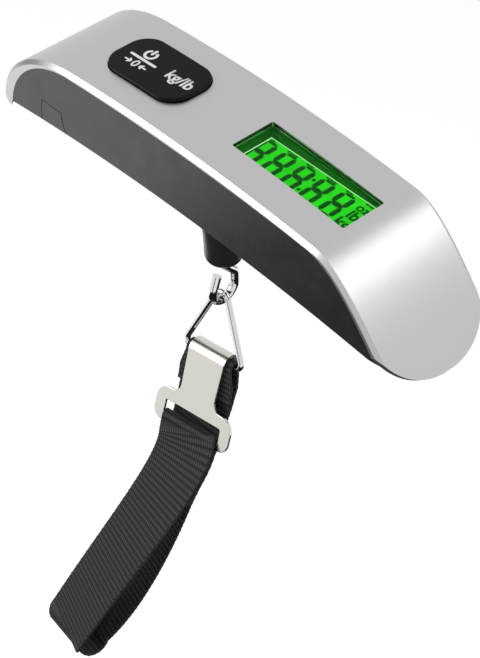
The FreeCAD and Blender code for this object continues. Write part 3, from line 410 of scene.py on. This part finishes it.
def print_on(piece, under, thickness):
    """Lay a flat print on the surface below it, then give it the thickness of its ink."""
    drape = piece.modifiers.new("drape", "SHRINKWRAP")
    drape.target = under
    drape.wrap_method = "PROJECT"
    drape.use_project_z = True
    drape.use_negative_direction = True
    drape.use_positive_direction = False
    drape.offset = thickness / 2
    depth = piece.modifiers.new("depth", "SOLIDIFY")
    depth.thickness = thickness
    depth.offset = 1.0
    work_in(piece)


# The marks' places on the key's face: the sign over the bar, the nought with its arrows below it.
SIGN = (-30.55 * MM, 2.15 * MM)
SIGN_RADIUS = 1.7 * MM
SIGN_STROKE = 0.85 * MM
SIGN_OPENING = (122, 418)           # where the ring starts and ends, degrees
STEM = (0.35 * MM, 2.1 * MM)        # from the sign's middle
BAR_Y = -0.75 * MM
BAR_ENDS = (-35.0 * MM, -25.7 * MM)
BAR_STROKE = 0.9 * MM
NOUGHT_Y = -3.4 * MM
NOUGHT_HEIGHT = 4.1 * MM
ARROW_Y = -3.35 * MM
ARROW_TIP, ARROW_TAIL = 1.75 * MM, 3.9 * MM
BARB_BACK, BARB_OUT = 0.85 * MM, 0.75 * MM
ARROW_STROKE = 0.55 * MM
UNITS = (-16.5 * MM, 0.0)
UNITS_HEIGHT = 5.3 * MM
marks = [strip_mesh("sign", ring_stroke(SIGN, SIGN_RADIUS, *SIGN_OPENING, SIGN_STROKE)),
         outline_mesh("stem", stroke(*[(SIGN[0], SIGN[1] + end) for end in STEM], SIGN_STROKE)),
         outline_mesh("bar", stroke(*[(end, BAR_Y) for end in BAR_ENDS], BAR_STROKE)),
         word("0", (SIGN[0], NOUGHT_Y), NOUGHT_HEIGHT),
         word("kg/lb", UNITS, UNITS_HEIGHT, squeeze=0.93)]
for side in (-1, 1):
    tip = (SIGN[0] + side * ARROW_TIP, ARROW_Y)
    tail = (SIGN[0] + side * ARROW_TAIL, ARROW_Y)
    marks.append(outline_mesh("shaft", stroke(tip, tail, ARROW_STROKE)))
    for wing in (-1, 1):
        barb = (tip[0] + side * BARB_BACK, tip[1] + wing * BARB_OUT)
        marks.append(outline_mesh("barb", stroke(tip, barb, ARROW_STROKE)))
key_marks = gather("key_marks", marks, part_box("key_cap")[1].z + CLEAR)
print_on(key_marks, nodes["key_cap"], INK)
finish(key_marks, surface("white_ink", (0.88, 0.88, 0.88), 0.45, grain=0.3, mottle=0.04, dimple=0.003))
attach(key_marks, "key")

# ---- display ----------------------------------------------------------------------------------------
# A positive seven-segment liquid crystal glass on a light guide that glows green. Its dark segments
# stand under a clear window, inside a frame that glows itself: painted light for the glow it picks up.
GLOW_PATCH = 9 * MM                 # size of the glow's lighter and darker patches


def glow_finish(name, deep, bright, strength):
    """A glow between two greens over broad noise: the crystal's own backlight, or painted light elsewhere.
    """
    look, tree, out = new_material(name)
    shader = tree.nodes.new("ShaderNodeBsdfPrincipled")
    shader.inputs["Roughness"].default_value = 0.25
    shader.inputs["Base Color"].default_value = (0.0, 0.06, 0.0, 1)
    shader.inputs["Specular IOR Level"].default_value = 0.0
    shader.inputs["Emission Strength"].default_value = strength
    place = tree.nodes.new("ShaderNodeTexCoord")
    noise = tree.nodes.new("ShaderNodeTexNoise")
    noise.inputs["Scale"].default_value = 1 / GLOW_PATCH
    noise.inputs["Detail"].default_value = 2.0
    link(tree, place.outputs["Object"], noise.inputs["Vector"])
    tint = tree.nodes.new("ShaderNodeMix")
    tint.data_type = "RGBA"
    tint.inputs["A"].default_value = (*deep, 1)
    tint.inputs["B"].default_value = (*bright, 1)
    link(tree, noise.outputs["Fac"], tint.inputs["Factor"])
    link(tree, tint.outputs["Result"], shader.inputs["Emission Color"])
    link(tree, shader.outputs[0], out.inputs["Surface"])
    return look


finish("lcd_glass", glow_finish("lit_crystal", (0.006, 0.44, 0.003), (0.024, 0.86, 0.010), 0.92))
finish("backlight", surface("light_guide", (0.55, 0.80, 0.55), 0.3, grain=0.4))
finish("contact_strips", surface("zebra_rubber", (0.35, 0.35, 0.36), 0.7, grain=0.1, mottle=0.3,
                                 stretch=(1, 0.05, 0.05)))
# The frame's glow is painted light: it stands in for the backlight that falls on the frame's walls.
finish("display_frame", glow_finish("painted_frame_glow", (0.0, 0.012, 0.0), (0.003, 0.11, 0.004), 1.0))

DIGIT_PITCH = 7.05 * MM
FIRST_DIGIT = 13.0 * MM
DIGITS = 5
DIGIT_Y = 0.65 * MM
SEGMENT_REACH = 1.85 * MM           # digit's middle to its upright segments' centre lines
SEGMENT_RISE = 4.7 * MM             # digit's middle to its top segment's centre line
SEGMENT_WIDTH = 1.42 * MM
SEGMENT_GAP = 0.30 * MM
LEVEL_WIDTH = 0.6                   # the top and bottom segments' width over an upright one's
LEAF_LENGTH, LEAF_HALF_WIDTH = 1.06, 0.62
POINTS_AT = 2.5                     # the colon's place, in digits after the first
POINT_YS = (3.0 * MM, -2.35 * MM)
POINT_RADIUS = 0.54 * MM
POINT_STEPS = 12
SEGMENT_PRINT = 0.04 * MM
glass_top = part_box("lcd_glass")[1].z


def segment(centre, along, length, width):
    """Outline of one segment: a bar of `width` whose ends are cut to points."""
    half, cut = length / 2, width / 2
    run = np.array([-half, -half + cut, half - cut, half, half - cut, -half + cut])
    side = np.array([0, cut, cut, 0, -cut, -cut])
    if along == "x":
        return np.array(centre) + np.column_stack([run, side])
    return np.array(centre) + np.column_stack([-side, run])


def digit(x, y):
    """The seven segments of an eight about (x, y); the middle one is a leaf."""
    level = 2 * SEGMENT_REACH - SEGMENT_GAP
    upright = SEGMENT_RISE - SEGMENT_GAP
    shapes = [segment((x, y + row * SEGMENT_RISE), "x", level, LEVEL_WIDTH * SEGMENT_WIDTH)
              for row in (-1, 1)]
    turn = np.linspace(0, 2 * math.pi, 20, endpoint=False)
    leaf = np.column_stack([LEAF_LENGTH * level / 2 * np.cos(turn),
                            LEAF_HALF_WIDTH * SEGMENT_WIDTH * np.sin(turn)])
    shapes.append(np.array((x, y)) + leaf)
    for side in (-1, 1):
        for half in (-1, 1):
            middle = (x + side * SEGMENT_REACH, y + half * SEGMENT_RISE / 2)
            shapes.append(segment(middle, "y", upright, SEGMENT_WIDTH))
    return shapes


shapes = []
for i in range(DIGITS):
    shapes += digit(FIRST_DIGIT + i * DIGIT_PITCH, DIGIT_Y)
point_x = FIRST_DIGIT + POINTS_AT * DIGIT_PITCH
for y in POINT_YS:
    round_point = ring_stroke((point_x, y), POINT_RADIUS / 2, 0, 360, POINT_RADIUS, steps=POINT_STEPS)
    shapes.append(round_point[:POINT_STEPS])
segments = gather("lcd_segments", [outline_mesh("segment", s) for s in shapes], glass_top)
UNITS_X = 47.2 * MM
UNIT_ROWS = (("kg", -3.4 * MM, 4.9 * MM), ("lb", 0.5 * MM, 4.7 * MM), ("oz", 4.0 * MM, 4.0 * MM))
unit_words = [word(unit, (UNITS_X, y), size) for unit, y, size in UNIT_ROWS]
units = gather("lcd_units", unit_words, glass_top)

# A row of dashes stands for the small function marks: twos and threes by turns, each a little to the
# left of its digit.
ICON_Y = 6.15 * MM
ICON_STEP = 1.3 * MM
ICON_STROKE = 0.55 * MM
ICON_SHIFT = -0.1                   # in digits
icons = []
for i in range(DIGITS + 1):
    icon_x = FIRST_DIGIT + (i + ICON_SHIFT) * DIGIT_PITCH
    for j in range(2 + i % 2):
        dash = [(icon_x + place * ICON_STEP, ICON_Y) for place in (j - 1, j - 0.5)]
        icons.append(outline_mesh("icon", stroke(*dash, ICON_STROKE)))
icons = gather("lcd_icons", icons, glass_top)
dark_crystal = surface("dark_crystal", (0.0, 0.035, 0.002), 0.3, grain=0.4, mottle=0.2, dimple=0.001)
crystal = dark_crystal.node_tree.nodes["Principled BSDF"]
crystal.inputs["Specular IOR Level"].default_value = 0.0
crystal.inputs["Emission Color"].default_value = (0.0, 0.045, 0.0, 1)
crystal.inputs["Emission Strength"].default_value = 1.0


def thicken(piece, thickness):
    """Give a flat piece a thickness."""
    depth = piece.modifiers.new("depth", "SOLIDIFY")
    depth.thickness = thickness
    depth.offset = 1.0
    work_in(piece)


for piece in (segments, units, icons):
    thicken(piece, SEGMENT_PRINT)
    finish(piece, dark_crystal)
    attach(piece, "housing")

# The lit line along the edge of the glass's top pane is a painted highlight: a thin strip that glows.
PANE = ((11.2 * MM, 6.85 * MM), (51.2 * MM, -6.85 * MM))
LINE = 0.24 * MM
LINE_RISE = 0.12 * MM
(left_x, far_y), (right_x, near_y) = PANE
corners = [(left_x, near_y), (left_x, far_y), (right_x, far_y), (right_x, near_y), (left_x, near_y)]
edges = [outline_mesh("line", stroke(a, b, LINE)) for a, b in zip(corners, corners[1:])]
edge_line = gather("lcd_edge_line", edges, glass_top)
thicken(edge_line, LINE_RISE)
finish(edge_line, glow_finish("painted_edge_highlight", (0.30, 1.0, 0.28), (0.65, 1.0, 0.60), 1.0))
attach(edge_line, "housing")

# The opening's wall is painted black below the cover's silver edge, which follows the crown's arc
# z = CROWN_TOP - (x - CROWN_X)^2 / (2 CROWN_RADIUS).
CROWN_TOP, CROWN_X, CROWN_RADIUS = 25.9 * MM, -5.0 * MM, 674.0 * MM
LINING = 0.04 * MM
LINING_DEPTH = 0.8 * MM
LINING_RISE = 0.20 * MM             # silver edge left above the paint
OPENING_ENDS = (11.22 * MM, 51.18 * MM)
OPENING_SIDE = 7.08 * MM


def lining_wall(outline):
    """Upright wall on the outline, LINING_DEPTH tall, up to just below the crown."""
    wall = []
    for x, y in outline:
        crown = CROWN_TOP - (x - CROWN_X)**2 / (2 * CROWN_RADIUS)
        wall.append((x, y, crown - LINING_RISE - LINING_DEPTH))
        wall.append((x, y, crown - LINING_RISE))
    return wall


def outline_of(ends, side):
    """The four corners of a rectangle between two ends, to `side` either way."""
    return [(ends[0], -side), (ends[1], -side), (ends[1], side), (ends[0], side)]


inner_ends = (OPENING_ENDS[0] + LINING, OPENING_ENDS[1] - LINING)
points = (lining_wall(outline_of(OPENING_ENDS, OPENING_SIDE))
          + lining_wall(outline_of(inner_ends, OPENING_SIDE - LINING)))
inner = len(points) // 2            # where the inner face's points start
faces = []
for k in range(4):
    a, b = 2 * k, 2 * ((k + 1) % 4)
    c, d = a + inner, b + inner
    faces += [(a, b, b + 1, a + 1), (c, c + 1, d + 1, d), (a + 1, b + 1, d + 1, c + 1), (a, c, d, b)]
lining = bpy.data.objects.new("opening_lining", flat_mesh("opening_lining", points, faces))
scene.collection.objects.link(lining)
finish(lining, surface("gloss_paint", (0.008, 0.010, 0.008), 0.22, grain=0.5, mottle=0.2, dimple=0.001))
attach(lining, "housing")

# The window is clear acrylic behind the cover's opening, a little scuffed in patches.
SCUFF_PATCH = 3 * MM
SCUFF_ROUGHNESS = 0.04
window_look, tree, out = new_material("clear_acrylic")
acrylic = tree.nodes.new("ShaderNodeBsdfPrincipled")
acrylic.inputs["Base Color"].default_value = (0.98, 1.0, 0.98, 1)
acrylic.inputs["Transmission Weight"].default_value = 1.0
acrylic.inputs["IOR"].default_value = 1.14
scuff = tree.nodes.new("ShaderNodeTexNoise")
scuff.inputs["Scale"].default_value = 1 / SCUFF_PATCH
scuff_range = tree.nodes.new("ShaderNodeMapRange")
scuff_range.inputs["To Min"].default_value = 0.0
scuff_range.inputs["To Max"].default_value = SCUFF_ROUGHNESS
place = tree.nodes.new("ShaderNodeTexCoord")
link(tree, place.outputs["Object"], scuff.inputs["Vector"])
link(tree, scuff.outputs["Fac"], scuff_range.inputs["Value"])
link(tree, scuff_range.outputs["Result"], acrylic.inputs["Roughness"])
link(tree, acrylic.outputs[0], out.inputs["Surface"])
finish("display_window", window_look)

# ---- hook, ring and hook plate ----------------------------------------------------------------------
# The hook and the ring are bent from round wire and chromed; the plate is stamped from steel sheet,
# curled over the ring's bar and nickel-plated.
chrome = surface("chrome", (0.80, 0.80, 0.81), 0.09, metallic=1.0, grain=0.5, mottle=0.03, dimple=0.0006)
finish("j_hook", chrome)
finish("triangle_ring", chrome)
finish("hook_plate", surface("nickel", (0.79, 0.762, 0.715), 0.24, metallic=1.0, grain=0.3, mottle=0.03,
                             dimple=0.0012))

# ---- webbing ----------------------------------------------------------------------------------------
# One 20 mm ribbon of black polypropylene, woven in rows of short floats. It wraps the ring's bar, hangs
# as a loop with a round fold at the bottom, and comes back up through the plate's slot. The sizes here
# are plain millimetres until a mesh is made.
WIDTH = 20.0
THICKNESS = 1.2
ROW = 1.65                          # rows of the weave
FLOAT = 0.80                        # floats across a row
FLOAT_RISE = 0.20
FLOAT_LEAN = 0.25                   # of a float, from a row's start to its end
BETWEEN = 0.10                      # height between the floats
NARROWEST = 1.4                     # how much each edge draws in round the ring's bar
NARROW_FROM, NARROW_RUN = -6.0, 5.0  # where along Z it starts to, and over what run
EDGE_INSET, EDGE_WAVE = 0.16, 0.12  # the selvedge: in from the nominal width, out again at each row
EDGE_ROUND = 0.8                    # reach of its rounding over the core's half thickness
ROW_STEPS = 6
FACE_COLUMNS = 104
EDGE_SHADE = 0.3                    # height the selvedge's colour is taken at, on the floats' painted shade and highlight
RING_BAR = 1.9 / 2
WRAP = RING_BAR + 0.15 + THICKNESS / 2
PLY = THICKNESS + 0.12
SHORT_END = 11.0
SLOT_END = 13.0
PLATE_MID = 2.9
SLOT_LOW = -22.1
PLATE_LOW = -24.5
TAIL_TOP = PLATE_LOW - 2.0          # the short tail behind the front ply starts here
SLOT_TURN = 0.5 + 0.12 + THICKNESS / 2
FOLD = np.array([-16.5, -13.5, -95.1])
FOLD_RADIUS = 4.5
FOLD_TWIST = math.radians(-17.5)
UP = np.array([0.0, 0.0, 1.0])
BACK = np.array([0.0, 1.0, 0.0])
ACROSS = np.array([-math.sin(FOLD_TWIST), math.cos(FOLD_TWIST), 0.0])


def cubic(a, b, c, d, count=60):
    """Points (1-t)^3 a + 3(1-t)^2 t b + 3(1-t) t^2 c + t^3 d."""
    t = np.linspace(0, 1, count)[:, None]
    s = 1 - t
    return (s**3 * np.array(a) + 3 * s * s * t * np.array(b) + 3 * s * t * t * np.array(c)
            + t**3 * np.array(d))


def turn_about(centre, radius, out_way, start, end, count=40):
    """Points centre + radius (cos a out_way + sin a up), a from start to end degrees."""
    a = np.radians(np.linspace(start, end, count))[:, None]
    return np.array(centre) + radius * (np.cos(a) * out_way + np.sin(a) * UP)


def ramp(count, start, end):
    """Even steps from start to end."""
    return np.linspace(start, end, count)


PLY_STEPS = 160
FOLD_STEPS = 60
BACK_TWIST_RATE = 2.8               # the back ply has its full twist after 1 / 2.8 of its length
half_ply = PLY / 2
front_tail = cubic((0, -half_ply, -SHORT_END), (0, -half_ply, -7), (0, -WRAP, -4.5), (0, -WRAP, 0))
wrap = turn_about((0, 0, 0), WRAP, BACK, 180, 0)
back_top = cubic((0, WRAP, 0), (0, WRAP, -4.5), (0, half_ply, -7), (0, half_ply, -SHORT_END))
back_ply = cubic((0, half_ply, -SHORT_END), (-1.2, 0.9, -38.4), (-8.2, 0.8, -78.8),
                 FOLD + ACROSS * FOLD_RADIUS, PLY_STEPS)
fold = turn_about(FOLD, FOLD_RADIUS, ACROSS, 0, -180, FOLD_STEPS)
down, up = fold[:FOLD_STEPS // 2], fold[FOLD_STEPS // 2 - 1:]
front_ply = cubic(FOLD - ACROSS * FOLD_RADIUS, (-1.4, -18.5, -53.0), (4.0, -5.9, -32.4),
                  (0, -PLATE_MID - SLOT_TURN, SLOT_LOW - 1.2), PLY_STEPS)
bar_turn = turn_about((0, -PLATE_MID, SLOT_LOW - 0.3), SLOT_TURN, BACK, 180, 0)
front_twist = ramp(PLY_STEPS, FOLD_TWIST, 0)
way = np.gradient(front_ply, axis=0)
way /= np.linalg.norm(way, axis=1)[:, None]
flat_way = np.column_stack([np.cos(front_twist), np.sin(front_twist), np.zeros(PLY_STEPS)])
off = np.cross(way, flat_way)
off *= np.sign(off[:, 1])[:, None]
behind = (front_ply + off / np.linalg.norm(off, axis=1)[:, None] * PLY)[::-1]
kept = (front_ply[::-1, 2] < TAIL_TOP) & (front_ply[::-1, 2] > TAIL_TOP - SLOT_END)
slot_tail = behind[kept]
tail_twist = front_twist[::-1][kept]


def ribbon_path(runs, twists):
    """Even stations, ROW_STEPS to a row, along joined runs: place, twist and how far along each is."""
    line = np.vstack([runs[0]] + [run[1:] for run in runs[1:]])
    twist = np.concatenate([twists[0]] + [t[1:] for t in twists[1:]])
    reach = np.concatenate([[0], np.cumsum(np.linalg.norm(np.diff(line, axis=0), axis=1))])
    rows = round(reach[-1] / ROW)
    even = np.linspace(0, reach[-1], rows * ROW_STEPS + 1)
    places = np.column_stack([np.interp(even, reach, line[:, k]) for k in range(3)])
    return places, np.interp(even, reach, twist), even / reach[-1] * rows


def weave(across, along):
    """Height 0..1 of the cloth: rows sin(pi v), each cut into floats 0.5 + 0.5 cos(2 pi u) that step by
    half a float from row to row and lean a little within it."""
    row = np.floor(along)
    within = along - row
    rise = np.sin(np.pi * within)**1.1
    phase = across / FLOAT + 0.5 * (row % 2) + FLOAT_LEAN * within
    return rise * (BETWEEN + (1 - BETWEEN) * (0.5 + 0.5 * np.cos(2 * np.pi * phase)))


def ribbon(name, runs, twists):
    """Closed mesh of a woven ribbon: at each station the section runs along the front face, round one
    edge, back along the other face and round the other edge."""
    places, twist, along = ribbon_path(runs, twists)
    way = np.gradient(places, axis=0)
    way /= np.linalg.norm(way, axis=1)[:, None]
    side = np.column_stack([np.cos(twist), np.sin(twist), np.zeros(len(twist))])
    side -= way * np.sum(side * way, axis=1)[:, None]
    side /= np.linalg.norm(side, axis=1)[:, None]
    normal = np.cross(side, way)
    pinch = NARROWEST * np.clip((places[:, 2] - NARROW_FROM) / NARROW_RUN, 0, 1)
    row_rise = np.sin(np.pi * (along % 1.0))**0.7
    half_width = WIDTH / 2 - EDGE_INSET - pinch + EDGE_WAVE * row_rise
    core = THICKNESS / 2 - FLOAT_RISE
    edge_reach = core * EDGE_ROUND
    u = np.linspace(1, -1, FACE_COLUMNS)
    edge = np.radians([120, 180, 240])
    face_across = u[None, :] * (half_width - edge_reach)[:, None]
    lift = weave(face_across, along[:, None])
    face_lift = core + FLOAT_RISE * lift
    left_across = -(half_width - edge_reach)[:, None] + edge_reach * np.cos(edge)[None, :]
    left_depth = core * np.sin(edge)[None, :] + np.zeros((len(along), 1))
    across = np.hstack([face_across, left_across, face_across[:, ::-1], -left_across])
    depth = np.hstack([face_lift, left_depth, -face_lift[:, ::-1], -left_depth])
    edge_shade = np.full(left_across.shape, EDGE_SHADE)
    # The floats' lift also sets the colour: painted shade in the gaps, a painted highlight on the floats.
    height = np.hstack([lift, edge_shade, lift[:, ::-1], edge_shade])
    points = (places[:, None, :] + across[:, :, None] * side[:, None, :]
              + depth[:, :, None] * normal[:, None, :])
    rings, columns = across.shape
    i = np.arange(rings - 1)[:, None]
    j = np.arange(columns)[None, :]
    quads = np.stack([i * columns + j, i * columns + (j + 1) % columns,
                      (i + 1) * columns + (j + 1) % columns, (i + 1) * columns + j], axis=-1).reshape(-1, 4)
    mesh = bpy.data.meshes.new(name)
    caps = [tuple(range(columns)), tuple(range(rings * columns - 1, (rings - 1) * columns - 1, -1))]
    mesh.from_pydata((points.reshape(-1, 3) * MM).tolist(), [], quads[:, ::-1].tolist() + caps)
    mesh.shade_smooth()
    shade = mesh.attributes.new("float_height_shade", "FLOAT", "POINT")
    shade.data.foreach_set("value", height.reshape(-1).astype(np.float32))
    run = np.column_stack([across.reshape(-1) / WIDTH + 0.5, np.repeat(along * ROW / WIDTH, columns)])
    loops = np.empty(len(mesh.loops), np.int32)
    mesh.loops.foreach_get("vertex_index", loops)
    mesh.uv_layers.new(name="cloth").data.foreach_set("uv", run[loops].astype(np.float32).reshape(-1))
    piece = bpy.data.objects.new(name, mesh)
    scene.collection.objects.link(piece)
    return piece


# From the plate's own frame, with its origin on the ring's bar, to how the strap hangs at rest.
BAR_DROP = -56.9 * MM
BOWL_WIRE = Vector((0, 0, -38.6 * MM))
BOWL = Vector((0, 0, -34.2 * MM))


def about(point, degrees, axis):
    """A turn about a point."""
    turn = Matrix.Rotation(math.radians(degrees), 4, axis)
    return Matrix.Translation(point) @ turn @ Matrix.Translation(-point)


HOOK_TURN, RING_LEAN, RING_ROCK, STRAP_LEAN = 5.4, -15.0, -3.4, -7.0
hanging = (Matrix.Rotation(math.radians(HOOK_TURN), 4, "Z") @ about(BOWL, RING_LEAN, "X")
           @ about(BOWL_WIRE, RING_ROCK, "Y") @ Matrix.Translation((0, 0, BAR_DROP))
           @ Matrix.Rotation(math.radians(STRAP_LEAN), 4, "X"))

still = [np.zeros(len(run)) for run in (front_tail, wrap, back_top)]
back_twist = FOLD_TWIST * np.minimum(1, ramp(PLY_STEPS, 0, BACK_TWIST_RATE))
back_half = ribbon("webbing_back_ply", [front_tail, wrap, back_top, back_ply, down],
                   still + [back_twist, np.full(len(down), FOLD_TWIST)])
front_half = ribbon("webbing_front_ply", [up, front_ply, bar_turn, slot_tail],
                    [np.full(len(up), FOLD_TWIST), front_twist, np.zeros(len(bar_turn)), tail_twist])

FIBRES = (160, 14, 1)               # fibres across, and streaks along, one width of webbing
FIBRE_DEPTH = 0.05 * MM
polypropylene, tree, out = new_material("black_polypropylene")
yarn = tree.nodes.new("ShaderNodeBsdfPrincipled")
yarn.inputs["Sheen Weight"].default_value = 0.03
yarn.inputs["Specular IOR Level"].default_value = 0.3
height = tree.nodes.new("ShaderNodeAttribute")
height.attribute_name = "float_height_shade"
# Painted light: the floats' tops are coloured lighter as a painted highlight, and the gaps between floats
# and rows darker as painted shade.
shade = tree.nodes.new("ShaderNodeMix")
shade.data_type = "RGBA"
shade.inputs["A"].default_value = (0.0025, 0.0025, 0.0027, 1)
shade.inputs["B"].default_value = (0.076, 0.076, 0.078, 1)
link(tree, height.outputs["Fac"], shade.inputs["Factor"])
link(tree, shade.outputs["Result"], yarn.inputs["Base Color"])
gloss = tree.nodes.new("ShaderNodeMapRange")
gloss.inputs["To Min"].default_value = 0.75
gloss.inputs["To Max"].default_value = 0.48
link(tree, height.outputs["Fac"], gloss.inputs["Value"])
link(tree, gloss.outputs["Result"], yarn.inputs["Roughness"])
place = tree.nodes.new("ShaderNodeTexCoord")
strands = tree.nodes.new("ShaderNodeMapping")
strands.inputs["Scale"].default_value = FIBRES
link(tree, place.outputs["UV"], strands.inputs["Vector"])
fibre = tree.nodes.new("ShaderNodeTexNoise")
fibre.inputs["Scale"].default_value = 1.0
fibre.inputs["Detail"].default_value = 2.0
link(tree, strands.outputs["Vector"], fibre.inputs["Vector"])
bump = tree.nodes.new("ShaderNodeBump")
bump.inputs["Distance"].default_value = FIBRE_DEPTH
link(tree, fibre.outputs["Fac"], bump.inputs["Height"])
link(tree, bump.outputs["Normal"], yarn.inputs["Normal"])
link(tree, yarn.outputs[0], out.inputs["Surface"])
for half in (back_half, front_half):
    half.data.transform(hanging)
    finish(half, polypropylene)
    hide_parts("webbing")
    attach(half, "strap")

# ---- stitching --------------------------------------------------------------------------------------
# Bonded polyester thread through both plies below the ring's bar, laid in two rows of short stitches.
finish("stitching", surface("polyester_thread", (0.02, 0.02, 0.022), 0.5, grain=0.2))
